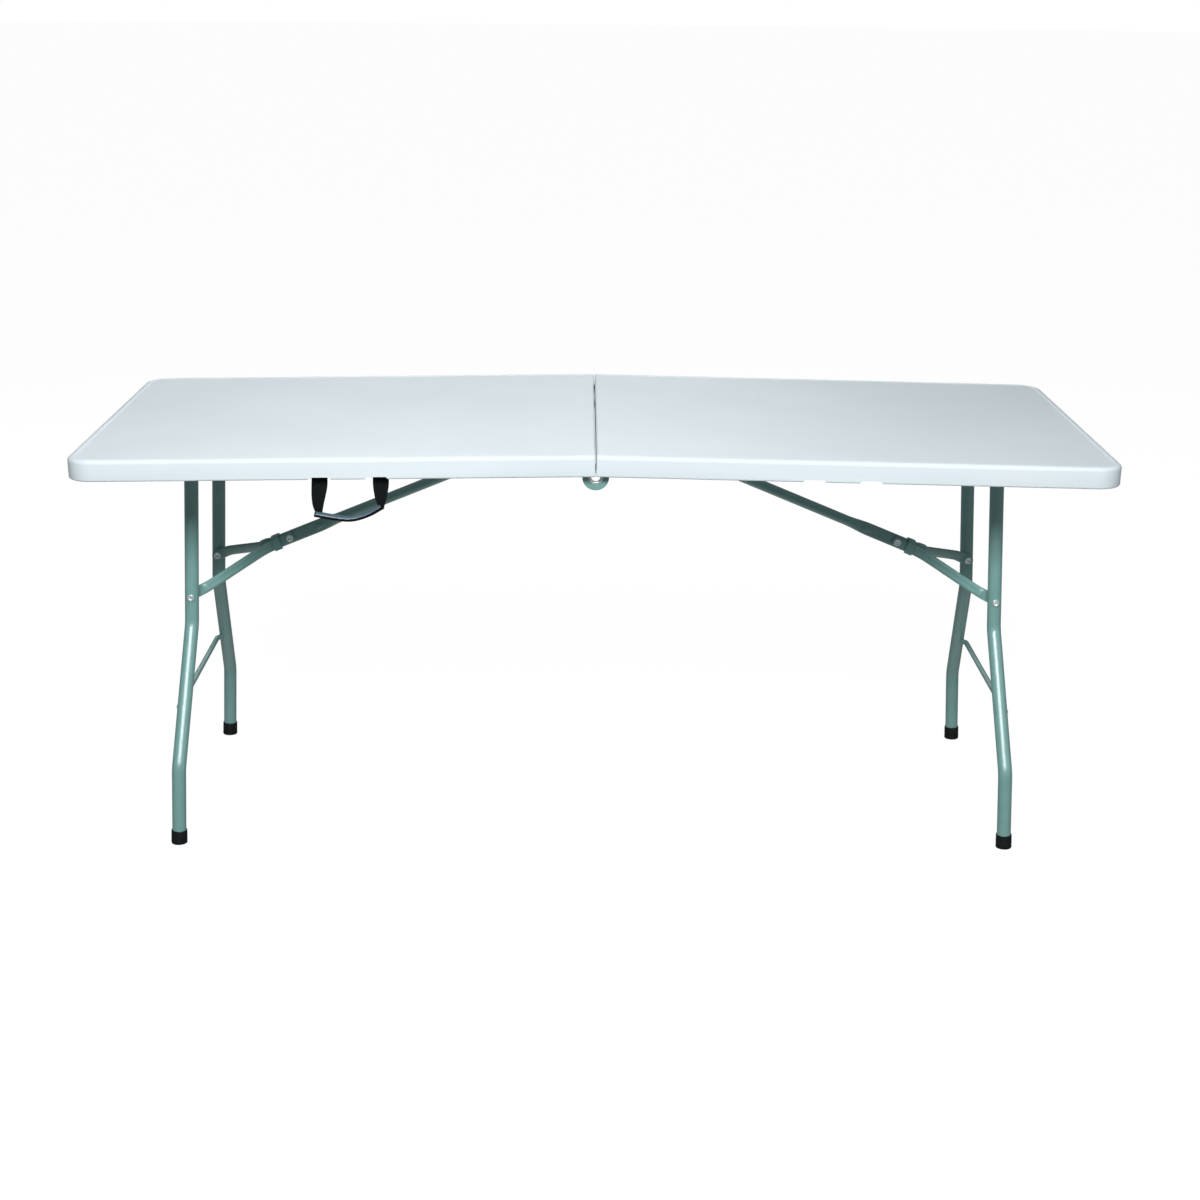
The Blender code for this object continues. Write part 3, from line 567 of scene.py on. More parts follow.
def underside(name):
    """The moulded underside of a half: a panel with rows of tack-off dimples, where the two skins meet."""
    side = SIDES[name]
    edge = RIM_WALL + 0.0064
    u0, u1 = SEAM_GAP + SEAM_WALL + 0.0024, HALF_LENGTH - edge
    v = HALF_WIDTH - edge
    nu, nv = round((u1 - u0) / UNDER_STEP), round(2 * v / UNDER_STEP)
    us, vs = np.linspace(u0, u1, nu + 1), np.linspace(-v, v, nv + 1)
    grid_u, grid_v = np.meshgrid(us, vs, indexing="ij")
    half_pitch = DIMPLE_PITCH / 2
    along = grid_u - u0 + half_pitch
    pu = along % DIMPLE_PITCH - half_pitch
    row = np.floor(along / DIMPLE_PITCH) % 2
    pv = (grid_v + row * half_pitch + 10 * DIMPLE_PITCH + half_pitch) % DIMPLE_PITCH - half_pitch
    near = np.clip(np.hypot(pu, pv) / DIMPLE_R, 0, 1)
    inside = (grid_u - u0 > 0.02) & (u1 - grid_u > 0.05) & (v - np.abs(grid_v) > 0.03)
    depth = np.where(inside, DIMPLE_DEPTH * (0.5 + 0.5 * np.cos(math.pi * near)), 0)
    verts = []
    for i in range(nu + 1):
        for j in range(nv + 1):
            w = -PLATE - 0.0001 + float(depth[i, j])
            verts.append(half_point(side, float(grid_u[i, j]), float(grid_v[i, j]), w))
    step = nv + 1
    faces = [(i * step + j, (i + 1) * step + j, (i + 1) * step + j + 1, i * step + j + 1)
             for i in range(nu) for j in range(nv)]
    border = [(i, 0) for i in range(nu)] + [(nu, j) for j in range(nv)]
    border += [(i, nv) for i in range(nu, 0, -1)] + [(0, j) for j in range(nv, 0, -1)]
    base = len(verts)
    verts += [half_point(side, float(us[i]), float(vs[j]), -SKIN - 0.0003) for i, j in border]
    n = len(border)
    for k, (i, j) in enumerate(border):
        p, q = border[(k + 1) % n]
        faces.append((i * step + j, base + k, base + (k + 1) % n, p * step + q))
    faces.append(tuple(range(base, base + n)))
    make(f"top_{name}_underside", verts, faces, WHITE, f"{name}_half", sharp=50)


# ---- legs ----
def leg_path():
    """Centre line of a leg as (r, y) stations with their direction, bends rounded."""
    corners = [(0.0060, LEG_TOP_Y), (BEND_HIGH, LEG_TOP_Y), (BEND_LOW, LEG_FOOT_Y),
               (LEG_LENGTH - 0.0056, LEG_FOOT_Y)]
    slope = math.atan2(LEG_FOOT_Y - LEG_TOP_Y, BEND_LOW - BEND_HIGH)
    back = BEND_R * math.tan(slope / 2)
    stations = [(corners[0], 0.0)]
    for (r, y), first, last in ((corners[1], 0.0, slope), (corners[2], slope, 0.0)):
        turn = 1 if last > first else -1
        r0, y0 = r - back * math.cos(first), y - back * math.sin(first)
        cr, cy = r0 - turn * BEND_R * math.sin(first), y0 + turn * BEND_R * math.cos(first)
        for k in range(13):
            t = first + (last - first) * k / 12
            stations.append(((cr + turn * BEND_R * math.sin(t), cy - turn * BEND_R * math.cos(t)), t))
    return stations + [(corners[3], 0.0)]


def leg_loops(side, s, radius, sides=48):
    """Loops round a leg's centre line."""
    loops = []
    for (r, y), t in leg_path():
        centre = leg_point(side, r, s * y)
        out = (leg_point(side, r, 0, 1) - leg_point(side, r, 0)).normalized()
        down = (leg_point(side, r + 1, 0) - leg_point(side, r, 0)).normalized()
        across = Vector((0, s, 0)) * math.cos(t) - down * math.sin(t)
        loops.append(round_loop(centre, out, across, radius, sides))
    return loops


def leg_tube(name, end):
    """A hollow leg with its holes, the rivet for the brace and the weld to the pivot tube."""
    side, s = SIDES[name], ENDS[end]
    body = f"legs_{name}"
    outer, inner = leg_loops(side, s, LEG_R), leg_loops(side, s, LEG_R - LEG_WALL)
    ob = make(f"leg_tube_{name}_{end}_piece", *skin(outer + inner[::-1], wrap=True), STEEL, body,
              [f"leg_tube_{name}_{end}"])
    drill(ob, leg_point(side, 0, s * LEG_TOP_Y), (0, 1, 0), PIVOT_TUBE_R + CLEARANCE, 0.030, 48)
    at = leg_point(side, LEG_RIVET_AT, s * LEG_TOP_Y)
    drill(ob, at, (0, 1, 0), RIVET_R + CLEARANCE, 0.020, 24)
    resharpen(ob)
    rivet(f"leg_rivet_{name}_{end}", at, (0, s, 0), LEG_R + 0.0002, body, -0.0100)
    weld_seam(f"pivot_weld_{name}_{end}", side, s, body)


def rivet_head(base, height):
    """Stations of a tubular rivet's head: a rounded rim round the deep dimple its tool leaves."""
    rim, dimple, edge = RIVET_HEAD_R, 0.0026, 0.0002
    crown = (rim + dimple) / 2 + 0.0006
    stations = [(base, rim - 0.0006), (base + edge, rim)]
    for k in range(1, 9):
        t = math.radians(90 * k / 8)
        rise = (height - edge) * math.sin(t)
        stations.append((base + edge + rise, rim - (rim - crown) * (1 - math.cos(t))))
    for k in range(1, 7):
        t = math.radians(90 * k / 6)
        sink = (height * 0.45) * (1 - math.cos(t))
        stations.append((base + height - sink, crown - (crown - dimple) * math.sin(t)))
    return stations + [(base + height * 0.20, dimple - 0.0004), (base + height * 0.14, 0.0008)]


def rivet(name, at, along, out, body, tail):
    """A rivet that replaces its CAD node: its shank from tail to out along the axis, then its head."""
    stations = [(tail, RIVET_R), (out, RIVET_R)] + rivet_head(out, LEG_HEAD_H)
    revolved(f"{name}_head", stations, at, along, ZINC, body, [name], 32)


def weld_seam(name, side, s, body):
    """The bead that joins a leg to its pivot tube."""
    loops = []
    count, sides = 40, 8
    down = leg_axes(side)[1]
    for k in range(count):
        t = 2 * math.pi * k / count
        ripple = WELD_R + WELD_RIPPLE * math.sin(9 * t)
        ly, ln = LEG_R * math.cos(t), LEG_R * math.sin(t)
        depth = math.sqrt(max(PIVOT_TUBE_R**2 - min(abs(ln), PIVOT_TUBE_R * 0.985) ** 2, 0))
        centre = leg_point(side, max(depth, 0.0035), s * LEG_TOP_Y + ly, ln)
        radial = (leg_point(side, 0, ly, ln) - leg_point(side, 0, 0, 0)).normalized()
        loops.append(round_loop(centre, radial, down, ripple, sides))
    make(name, *skin(loops, wrap=True), STEEL, body, sharp=80)


def crossbar_path():
    """Centre line of a crossbar as (y, n) stations: straight, its ends bent in towards the legs' plane."""
    share = (CROSSBAR_AT - BEND_HIGH) / (BEND_LOW - BEND_HIGH)
    reach = LEG_TOP_Y + share * (LEG_FOOT_Y - LEG_TOP_Y) + CROSSBAR_INTO_TUBE
    first, last = reach - CROSSBAR_BEND, reach - LEG_R
    half = [(reach, CROSSBAR_END_OUT)]
    for k in range(13):
        t = k / 12
        out = CROSSBAR_END_OUT + (CROSSBAR_OUT - CROSSBAR_END_OUT) * eased(t)
        half.append((last + (first - last) * t, out))
    return [(-y, n) for y, n in half] + half[::-1]


def swept(points, across, radius, sides):
    """Loops of a round bar along points; across is square to its path everywhere."""
    loops = []
    for k, p in enumerate(points):
        tangent = (points[min(k + 1, len(points) - 1)] - points[max(k - 1, 0)]).normalized()
        loops.append(round_loop(p, across, tangent.cross(across), radius, sides))
    return loops


def leg_crossbar(name):
    """A thin bar between the legs, its ends cut to fit the tubes."""
    side = SIDES[name]
    points = [leg_point(side, CROSSBAR_AT, y, n) for y, n in crossbar_path()]
    loops = swept(points, leg_axes(side)[1], CROSSBAR_R, 32)
    ob = make(f"leg_crossbar_{name}_piece", *skin(loops), STEEL, f"legs_{name}", [f"leg_crossbar_{name}"])
    for s in ENDS.values():
        cut(ob, make("tool", *skin(leg_loops(side, s, LEG_R + 0.0001)), None, None))
    resharpen(ob)


def foot_cap(name, end):
    """A ribbed rubber cup on the tube's end, its sole level with the floor."""
    side, s = SIDES[name], ENDS[end]
    out, down = leg_axes(side)
    across = Vector((0, s, 0))
    length, wide = LEG_LENGTH, FOOT_CAP_R
    top, floor = length - FOOT_CAP_H, length - FOOT_CAP_FLOOR
    profile = [(length, wide - 0.0012), (length - 0.0006, wide - 0.0003), (length - 0.002, wide)]
    for k in range(3):
        at = length - FOOT_RIB_FIRST - FOOT_RIB_PITCH * k
        profile += [(at + 0.0008, wide - 0.0001), (at + 0.0004, wide - 0.0006),
                    (at - 0.0004, wide - 0.0006), (at - 0.0008, wide - 0.0001)]
    profile += [(top + 0.0016, wide - 0.0003), (top + 0.0005, wide - 0.0006), (top, wide - 0.0012),
                (top + 0.0002, LEG_R + CLEARANCE), (floor, LEG_R + CLEARANCE)]
    loops = []
    for r, radius in profile:
        loop = round_loop(leg_point(side, r, s * LEG_FOOT_Y), out, across, radius, 48)
        if r == length:
            loop = [p - down * (p.z / down.z) for p in loop]
        loops.append(loop)
    make(f"foot_cap_{name}_{end}_piece", *skin(loops), RUBBER, f"legs_{name}", [f"foot_cap_{name}_{end}"])


def pivot_tube(name):
    """The hollow tube across the top of a leg frame, its ends' edges broken."""
    pivot = leg_point(SIDES[name], 0, 0)
    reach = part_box(f"leg_pivot_tube_{name}")[1].y
    wide, bore, length, edge = PIVOT_TUBE_R, PIVOT_TUBE_R - PIVOT_TUBE_WALL, 2 * reach, 0.0004
    stations = [(0, bore + edge), (0, wide - edge), (0.0005, wide), (length - 0.0005, wide),
                (length, wide - edge), (length, bore + edge), (length - 0.0006, bore), (0.0006, bore)]
    revolved(f"leg_pivot_tube_{name}_piece", stations, pivot - Vector((0, reach, 0)), (0, 1, 0), STEEL,
             f"legs_{name}", [f"leg_pivot_tube_{name}"], 48, wrap=True)


# ---- brace ----
def pressed_section(half_t, half_h, hardness, n):
    """Section points (out, up) of a tube between round and pressed flat, squarer with more hardness."""
    press = min(max((1 - half_t / half_h - 0.15) / 0.4, 0.0), 1.0)
    power = 1.0 - hardness * press
    points = []
    for k in range(n):
        t = 2 * math.pi * (k + 0.5) / n
        c, d = math.cos(t), math.sin(t)
        out, up = math.copysign(abs(c) ** power, c), math.copysign(abs(d) ** power, d)
        points.append((half_t * out, half_h * up))
    return points


def rounded_end(at, outward, half_h):
    """Places and half heights along a rounded end, from its tip."""
    turns = [math.radians(a) for a in (6, 14, 24, 36, 50, 66, 80)]
    return [(at + outward * half_h * math.cos(a), half_h * math.sin(a)) for a in turns]


def eye_thickness(thickness, half_h, full_h):
    """Half thickness of a rounded end, thinned towards its tip."""
    return thickness * min(1, half_h / full_h + 0.35)


def blended(shape, steps):
    """Stations eased between the given ones, so that a pressed tube swells and narrows smoothly."""
    out = []
    for a, b in zip(shape, shape[1:]):
        for k in range(steps):
            t = k / steps
            rest = [p + (q - p) * eased(t) for p, q in zip(a[1:], b[1:])]
            out.append((a[0] + (b[0] - a[0]) * t, *rest))
    return out + [shape[-1]]


def link_shape():
    """Stations of the link: (place, rise, half thickness, half height, slant)."""
    b, tip = LINK_LENGTH, LINK_LENGTH + LINK_TIP
    flat, blade = LINK_FLAT_T, (LINK_FLAT_T, FLAT_HALF, 0.0)
    eye, tube = (LINK_EYE_T, LINK_R, 0.0), (LINK_R, LINK_R, 0.0)
    shape = [(s, 0.0, eye_thickness(LINK_EYE_T, hh, LINK_R), hh, 0.0)
             for s, hh in rounded_end(0.0, -1, LINK_R)]
    shape += blended([(0.0, 0.0, *eye), (LINK_SWELL[0], 0.0, *eye), (LINK_SWELL[1], 0.0, *tube),
                      (b - LINK_PRESS[0], 0.0, *tube), (b - LINK_PRESS[1], 0.0, *blade),
                      (b + LINK_BLADE[0], 0.0, *blade),
                      (b + LINK_BLADE[1], TIP_RISE, flat, TIP_HALF, 0.0)], 8)
    edge = ((0.0030, 0.0, 0.0), (0.0012, 0.0, 0.0003), (0.0003, 0.0003, 0.0010), (0.0, 0.0009, 0.0018))
    shape += [(tip - back, TIP_RISE, flat - thin, TIP_HALF - low, TIP_SLANT) for back, thin, low in edge]
    return shape


def brace_link(name):
    """The long member of a brace: a tube with an eye at its pivot, pressed to a blade past the knee."""
    side = SIDES[name]
    loops = []
    for s, rise, half_t, half_h, slant in link_shape():
        section = pressed_section(half_t, half_h, 0.5, 40)
        loops.append([link_point(side, s, y, rise + h, slant) for y, h in section])
    ob = make(f"brace_link_{name}_piece", *skin(loops), STEEL, f"link_{name}", [f"brace_link_{name}"],
              sharp=45)
    drill(ob, link_point(side, 0, 0, 0), (0, 1, 0), EYE_HOLE_R, 0.012)
    drill(ob, link_point(side, LINK_LENGTH, 0, 0), (0, 1, 0), RIVET_R + CLEARANCE, 0.012)
    drill(ob, link_point(side, LINK_LENGTH + TIP_HOLE_AT, 0, TIP_RISE), (0, 1, 0), 0.002, 0.012, 20)
    resharpen(ob, 45)
    ring_stop(name)


def ring_stop(name):
    """The oblong boss pressed out of each face of the link, where the lock ring stops."""
    side = SIDES[name]
    for label, s in ENDS.items():
        loops = []
        for grow, out in BOSS_LAYERS:
            loop = []
            for j in range(28):
                t = 2 * math.pi * j / 28
                c = math.cos(t)
                along = BOSS_END * grow * c + BOSS_STRAIGHT * math.copysign(1, c) * min(1, abs(c) * 3)
                up = BOSS_HALF * grow * math.sin(t)
                loop.append(link_point(side, LINK_LENGTH - BOSS_BACK + along, s * out, up))
            loops.append(loop)
        make(f"ring_stop_{name}_{label}", *skin(loops), STEEL, f"link_{name}", sharp=60)


def arm_shape(length):
    """Stations of an arm: (place, offset from the link, half thickness, half height)."""
    near = LINK_FLAT_T + 0.0005 + ARM_FLAT_T
    far = LEG_TOP_Y - LEG_R - 0.0007 - ARM_FLAT_T
    rows = [(0.0, near, ARM_FLAT_T, ARM_EYE), (0.036, near, ARM_FLAT_T, ARM_EYE),
            (0.048, near + 0.0045, 0.0042, 0.0100), (0.060, near + 0.0150, ARM_T, ARM_HALF),
            (length - 0.030, far - 0.0070, ARM_T, ARM_HALF), (length - 0.018, far - 0.0012, 0.0030, 0.0101),
            (length - 0.010, far, ARM_FLAT_T, ARM_EYE), (length, far, ARM_FLAT_T, ARM_EYE)]
    body = [(t, *along_curve(rows, t)) for t in np.linspace(0, length, 64)]
    start, tip = [
        [(t, out, eye_thickness(ARM_FLAT_T, hh, ARM_EYE), hh) for t, hh in rounded_end(at, way, ARM_EYE)]
        for at, way, out in ((0.0, -1, near), (length, 1, far))
    ]
    return start, body, tip[::-1]


def arm_section(half_t, half_h, groove):
    """An arm's section points (out, up), with a groove pressed along the middle of its outer face."""
    points = []
    for out, up in pressed_section(half_t, half_h, 0.4, 48):
        if out > 0:
            out -= groove * max(0.0, 1 - (up / (GROOVE_HALF * half_h)) ** 2) ** 0.5
        points.append((out, up))
    return points


def brace_arm(name, end):
    """An arm from the knee to a leg: flat at both eyes, grooved between them, with a rivet head inside."""
    side, s = SIDES[name], ENDS[end]
    body_name = f"arms_{name}"
    leg_rivet = leg_point(1, LEG_RIVET_AT, 0)
    length = (leg_rivet - KNEE_POINT).length
    start, body, tip = arm_shape(length)
    loops = []
    for t, middle, half_t, half_h in start + body + tip:
        share = min(max((t - 0.040) / 0.012, 0.0), max((length - 0.026 - t) / 0.010, 0.0), 1.0)
        section = arm_section(half_t, half_h, GROOVE_DEPTH * eased(share))
        loops.append([brace_point(side, KNEE_POINT, leg_rivet, t, s * (middle + y), h) for y, h in section])
    ob = make(f"brace_arm_{name}_{end}_piece", *skin(loops), STEEL, body_name, [f"brace_arm_{name}_{end}"],
              sharp=45)
    near, far = body[0][1], body[-1][1]
    knee = Vector((side * KNEE_POINT.x, s * near, KNEE_POINT.z))
    drill(ob, knee, (0, 1, 0), RIVET_R + CLEARANCE, 0.005)
    resharpen(ob, 45)
    at = brace_point(side, KNEE_POINT, leg_rivet, length, s * (far - ARM_FLAT_T + 0.0002), 0)
    revolved(f"arm_rivet_{name}_{end}", rivet_head(0.0, ARM_HEAD_H), at, (0, -s, 0), ZINC, body_name, (), 32)


def knee_rivet(name):
    """The rivet through the link and both arms, with a low head at each end."""
    cap = [(KNEE_STACK, RIVET_R)] + rivet_head(KNEE_STACK, KNEE_HEAD_H)
    stations = [(-d, r) for d, r in cap[::-1]] + cap
    at = (SIDES[name] * KNEE_POINT.x, 0, KNEE_POINT.z)
    revolved(f"knee_rivet_{name}_piece", stations, at, (0, 1, 0), ZINC, f"link_{name}",
             [f"knee_rivet_{name}"], 32)


def lock_ring(name):
    """A pressed band, open below, that slides over the link and both arms."""
    side = SIDES[name]
    mid, half = LINK_LENGTH + RING_AT, RING_LENGTH / 2
    inner_y, inner_h = KNEE_STACK + KNEE_HEAD_H + 0.0004, FLAT_HALF + 0.0004
    quarter = [math.pi / 2 * k / 6 for k in range(7)]
    stations = [(-half + RING_EDGE * (1 - math.sin(t)), RING_WALL - RING_EDGE * (1 - math.cos(t)))
                for t in quarter[::-1]]
    stations += [(-s, wall) for s, wall in stations[::-1]]
    bend, tuck, foot = RING_BEND_OUT, RING_BEND_IN, -RING_FOOT
    loops = []
    for s, wall in stations:
        oy, oh = inner_y + wall, inner_h + wall
        inner = [(inner_y - tuck * (1 - math.sin(t)), inner_h - tuck * (1 - math.cos(t))) for t in quarter]
        outer = [(oy - bend * (1 - math.cos(t)), oh - bend * (1 - math.sin(t))) for t in quarter]
        profile = [(-oy, foot), (-inner_y, foot)] + [(-y, h) for y, h in inner[::-1]] + inner
        profile += [(inner_y, foot), (oy, foot)] + outer + [(-y, h) for y, h in outer[::-1]]
        loops.append([link_point(side, mid + s, y, h) for y, h in profile])
    make(f"lock_ring_{name}_piece", *skin(loops), STEEL, f"ring_{name}", [f"lock_ring_{name}"], sharp=40)


# ---- hinge ----
def hinge_eyelet(end):
    """The hollow rivet on the fold line, its lips rolled over both plates."""
    s = ENDS[end]
    low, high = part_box(f"hinge_eyelet_{end}")
    inner, outer = sorted((abs(low.y), abs(high.y)))
    lip, bore, barrel, ring = (high.x - low.x) / 2, EYELET_BORE, EYELET_BARREL, EYELET_LIP
    stations = [(outer - ring, bore)]
    for sign, base in ((1, outer - ring), (-1, inner + ring)):
        turn = [(base + sign * (ring * math.sin(t)), bore + (lip - bore) * (1 - math.cos(t)) / 2)
                for t in (math.pi * k / 8 for k in range(9))]
        stations += turn if sign > 0 else turn[::-1]
        if sign > 0:
            stations += [(base + 0.0001, barrel), (inner + ring - 0.0001, barrel)]
    revolved(f"hinge_eyelet_{end}_piece", stations, (0, 0, HINGE_Z), (0, s, 0), ZINC, "left_half",
             [f"hinge_eyelet_{end}"], 48, wrap=True)


# ---- handle ----
def along_curve(rows, at):
    """The values at a place on the smooth curve through rows, each (place, value, ...)."""
    k = max(i for i in range(len(rows) - 1) if rows[i][0] <= at or i == 0)
    a, b = rows[k], rows[k + 1]
    before, after = rows[max(k - 1, 0)], rows[min(k + 2, len(rows) - 1)]
    span = b[0] - a[0]
    t = (at - a[0]) / span
    values = []
    for j in range(1, len(a)):
        start = (b[j] - before[j]) / (b[0] - before[0]) * span
        stop = (after[j] - a[j]) / (after[0] - a[0]) * span
        values.append(a[j] * (2 * t**3 - 3 * t**2 + 1) + start * (t**3 - 2 * t**2 + t)
                      + b[j] * (3 * t**2 - 2 * t**3) + stop * (t**3 - t**2))
    return values


def handle_strap(k):
    """A webbing strap: sewn round its pin, bowing a little, and gathered in pleats at the grip."""
    u, outer, t = STRAPS[k], PIN_LOOP_R, STRAP_T / 2
    foot_u = u + STRAP_DRIFT[k] * STRAP_SHAPE[-1][2]
    drop = along_curve(GRIP_LINE, foot_u)[0] + GRIP_T * 0.2
    across, down = 30, 34
    lead = math.asin(t / outer)
    ring = [lead + (2 * math.pi - 2 * lead) * j / 20 for j in range(21)]
    loops = []
    for i in range(across + 1):
        e = 2 * i / across - 1
        edge = 0.35 + 0.65 * min(1.0, (1 - abs(e)) * 12)
        loop = [handle_point(u + e * STRAP_W / 2, outer * math.sin(a), outer * math.cos(a)) for a in ring]
        front, back = [], []
        for j in range(1, down + 1):
            share = j / down
            width, drift = along_curve(STRAP_SHAPE, share)
            pleat = share**3 * PLEAT * math.cos(e * math.pi * 2.5)
            bow = STRAP_BOW * math.sin(share * math.pi) * (1 - e * e)
            at = u + STRAP_DRIFT[k] * drift + e * STRAP_W / 2 * width
            front.append(handle_point(at, t * edge + pleat + bow, share * drop))
            back.append(handle_point(at, -t * edge + pleat + bow, share * drop))
        loops.append(loop + back + front[::-1])
    name = f"handle_strap_{k + 1}"
    ob = make(f"{name}_piece", *skin(loops), WEBBING, "handle", [name], sharp=60)
    along = handle_point(u + 1, 0, 0) - handle_point(u, 0, 0)
    drill(ob, handle_point(u, 0, 0), along, PIN_HOLE_R, 0.030, 24)
    resharpen(ob, 60)


def grip_station(share):
    """Place, drop and slope of the grip's centre line."""
    first, last = GRIP_LINE[0][0], GRIP_LINE[-1][0]
    u = first + (last - first) * share
    before, after = max(u - 0.001, first), min(u + 0.001, last)
    slope = math.atan2(along_curve(GRIP_LINE, after)[0] - along_curve(GRIP_LINE, before)[0], after - before)
    return u, along_curve(GRIP_LINE, u)[0], slope


def grip_section(name, mat, section, shares, replaced=()):
    """A piece swept along the grip; section gives (out, down) points, shares where the stations are."""
    loops = []
    for share in shares:
        u, drop, slope = grip_station(share)
        loops.append([handle_point(u - d * math.sin(slope), out, drop + d * math.cos(slope))
                      for out, d in section])
    make(name, *skin(loops), mat, "handle", replaced, sharp=50)


def handle_grip():
    """A blue-grey sleeve over the crown of a black webbing core, which shows below it and at its ends: the
    split paints light on the crown and shade under the grip.
    """
    crown, thick = GRIP_T / 2, SLEEVE_T
    # The sleeve spans only the upper half, so the black core below stands in for the painted shade under the
    # grip.
    angles = [math.radians(a) for a in range(-170, -9, 8)]
    outer = [(GRIP_W / 2 * math.cos(a), crown * math.sin(a)) for a in angles]
    inner = [((GRIP_W / 2 - thick) * math.cos(a), (crown - thick) * math.sin(a)) for a in angles[::-1]]
    sleeve = [0.020 + 0.96 * k / 40 for k in range(41)]
    grip_section("handle_grip_sleeve", GRIP, outer + inner, sleeve, ["handle_grip"])
    core = []
    # Black webbing all round, showing where the sleeve stops: real webbing, and painted shade under the
    # grip.
    for degrees in range(-180, 180, 10):
        depth = thick + 0.0003 if -170 < degrees < -10 else 0.0002
        a = math.radians(degrees)
        core.append(((GRIP_W / 2 - depth) * math.cos(a), (crown - depth) * math.sin(a)))
    grip_section("handle_grip_core_painted_shade", WEBBING, core, [k / 40 for k in range(41)])


# ---- stage, light and camera ----
FLOOR_REACH = 60.0   # half its width: inside the views' clip end, 100 times the object's radius
FLOOR_GLOW, FLOOR_GREY = 0.96, 0.07
WALL_RINGS = ((1.0, -0.01), (1.0, 0.4), (0.7, 0.8), (0.02, 1.0))   # radius and height, in floor reaches


def stage_piece(name, verts, faces, glow, grey):
    """A white piece of the studio that only the camera sees: the world and the lamps light the table."""
    mat, tree, shader = shader_tree(name, (grey,) * 3, 0.9, Specular_IOR_Level=0.0, Emission_Strength=glow)
    shader.inputs["Emission Color"].default_value = (1, 1, 1, 1)
    patch = noise(tree, 0.4, 1.0)
    tint = ramp(tree, patch.outputs["Fac"], [(0.3, (grey * 0.97,) * 3), (0.7, (grey,) * 3)])
    tree.links.new(tint.outputs["Color"], shader.inputs["Base Color"])
    mesh = bpy.data.meshes.new(name)
    mesh.from_pydata(verts, [], faces)
    mesh.materials.append(mat)
    ob = bpy.data.objects.new(name, mesh)
    bpy.context.scene.collection.objects.link(ob)
    ob.visible_diffuse = False
    ob.visible_glossy = False
    ob.visible_shadow = False


def stage():
    """A pale glowing floor that takes only faint shadows, and a white wall that closes in above it."""
    r = FLOOR_REACH
    corners = [(-r, -r, 0), (r, -r, 0), (r, r, 0), (-r, r, 0)]
    stage_piece("studio_floor", corners, [(0, 1, 2, 3)], FLOOR_GLOW, FLOOR_GREY)
    rings = [round_loop(Vector((0, 0, z * r)), Vector((1, 0, 0)), Vector((0, 1, 0)), s * r, 48)
             for s, z in WALL_RINGS]
    stage_piece("studio_wall", *skin(rings, caps=False), 1.0, 0.0)


def area_light(name, place, aim, size, power, colour=(1, 1, 1)):
    """A rectangular lamp of the given power in watts, turned to aim."""
    light = bpy.data.lights.new(name, "AREA")
    light.shape = "RECTANGLE"
    light.size, light.size_y = size
    light.energy = power
    light.color = colour
    ob = bpy.data.objects.new(name, light)
    bpy.context.scene.collection.objects.link(ob)
    ob.location = place
    ob.rotation_euler = (Vector(aim) - Vector(place)).to_track_quat("-Z", "Y").to_euler()


def studio_world():
    """The light round the table: a bounce from straight below, dim at its sides and pale overhead."""
    world = bpy.data.worlds.new("studio")
    bpy.context.scene.world = world
    world.use_nodes = True
    tree = world.node_tree
    place = node(tree, "ShaderNodeTexCoord")
    split = node(tree, "ShaderNodeSeparateXYZ")
    tree.links.new(place.outputs["Generated"], split.inputs["Vector"])
    lift = node(tree, "ShaderNodeMath", operation="MULTIPLY_ADD")
    tree.links.new(split.outputs["Z"], lift.inputs[0])
    lift.inputs[1].default_value = 0.5
    lift.inputs[2].default_value = 0.5
    sky = ramp(tree, lift.outputs["Value"], [(0.0, (0.55, 0.58, 0.58)), (0.08, (0.45, 0.48, 0.48)),
                                             (0.25, (0.20, 0.22, 0.22)), (0.45, (0.17, 0.19, 0.19)),
                                             (0.52, (0.05, 0.06, 0.06)), (0.88, (0.14, 0.16, 0.17)),
                                             (1.0, (0.45, 0.48, 0.50))])
    tree.links.new(sky.outputs["Color"], tree.nodes["Background"].inputs["Color"])


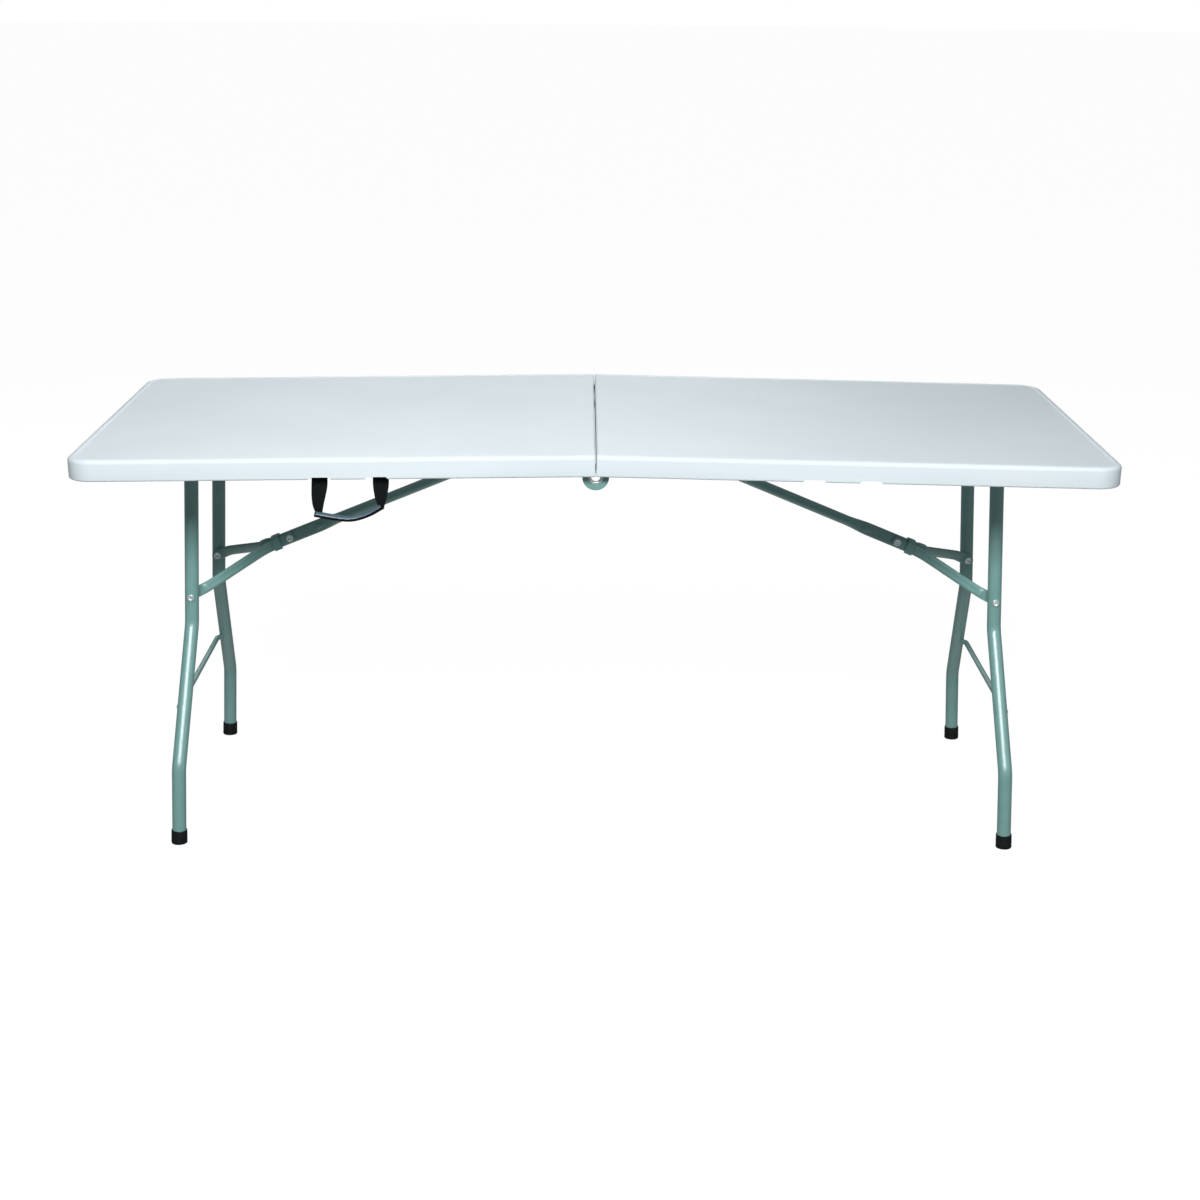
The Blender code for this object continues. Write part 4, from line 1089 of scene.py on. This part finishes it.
def lights():
    """The world, a soft key from the front and above, a weak fill from the right and a lamp behind."""
    studio_world()
    area_light("key", (-0.2, -3.3, 2.95), (0, 0, 0.4), (3.2, 1.1), 215, (0.955, 0.985, 1.0))
    area_light("fill", (3.2, -2.0, 1.4), (0, 0, 0.4), (1.2, 1.6), 8)
    area_light("rim", (-0.4, 3.2, 2.6), (0, 0, 0.5), (2.6, 1.2), 45)
    bpy.context.scene.view_settings.view_transform = "Standard"


CAMERA_AT = (-0.0237, -3.7453, 1.5317)
CAMERA_YAW, CAMERA_PITCH, CAMERA_ROLL = 0.00971, 0.29764, 0.00954   # radians
CAMERA_LENS, CAMERA_SENSOR = 61.521, 36.0   # millimetres


def camera():
    """The camera, placed and turned as a fit to the photograph gave."""
    sin_yaw, cos_yaw = math.sin(CAMERA_YAW), math.cos(CAMERA_YAW)
    level = math.cos(CAMERA_PITCH)
    fwd = Vector((sin_yaw * level, cos_yaw * level, -math.sin(CAMERA_PITCH)))
    right = Vector((cos_yaw, -sin_yaw, 0))
    up = right.cross(fwd)
    c, s = math.cos(CAMERA_ROLL), math.sin(CAMERA_ROLL)
    right, up = c * right + s * up, -s * right + c * up
    data = bpy.data.cameras.new("camera")
    data.sensor_width = CAMERA_SENSOR
    data.lens = CAMERA_LENS
    cam = bpy.data.objects.new("camera", data)
    bpy.context.scene.collection.objects.link(cam)
    turn = Matrix((right, up, -fwd)).transposed()
    cam.matrix_world = turn.to_4x4()
    cam.location = CAMERA_AT
    bpy.context.scene.camera = cam


def build():
    """Every piece of the table, then the stage, the lights and the camera."""
    for name in SIDES:
        top_half(name)
        underside(name)
        pivot_tube(name)
        leg_crossbar(name)
        brace_link(name)
        knee_rivet(name)
        lock_ring(name)
        refined(f"brace_rod_{name}", 0.0005, STEEL)
        for end in ENDS:
            leg_tube(name, end)
            foot_cap(name, end)
            brace_arm(name, end)
            refined(f"rail_{name}_{end}", 0.0006, STEEL)
            refined(f"hinge_plate_{name}_{end}", 0.0006, STEEL)
            refined(f"brace_bracket_{name}_{end}", 0.0008, STEEL)
            for k in (1, 2):
                refined(f"rail_screw_{name}_{end}_{k}", 0.0002, ZINC)
    for end in ENDS:
        hinge_eyelet(end)
    for k in (0, 1):
        handle_strap(k)
        refined(f"handle_anchor_{k + 1}", 0.0003, STEEL)
    handle_grip()
    stage()
    lights()
    camera()


build()
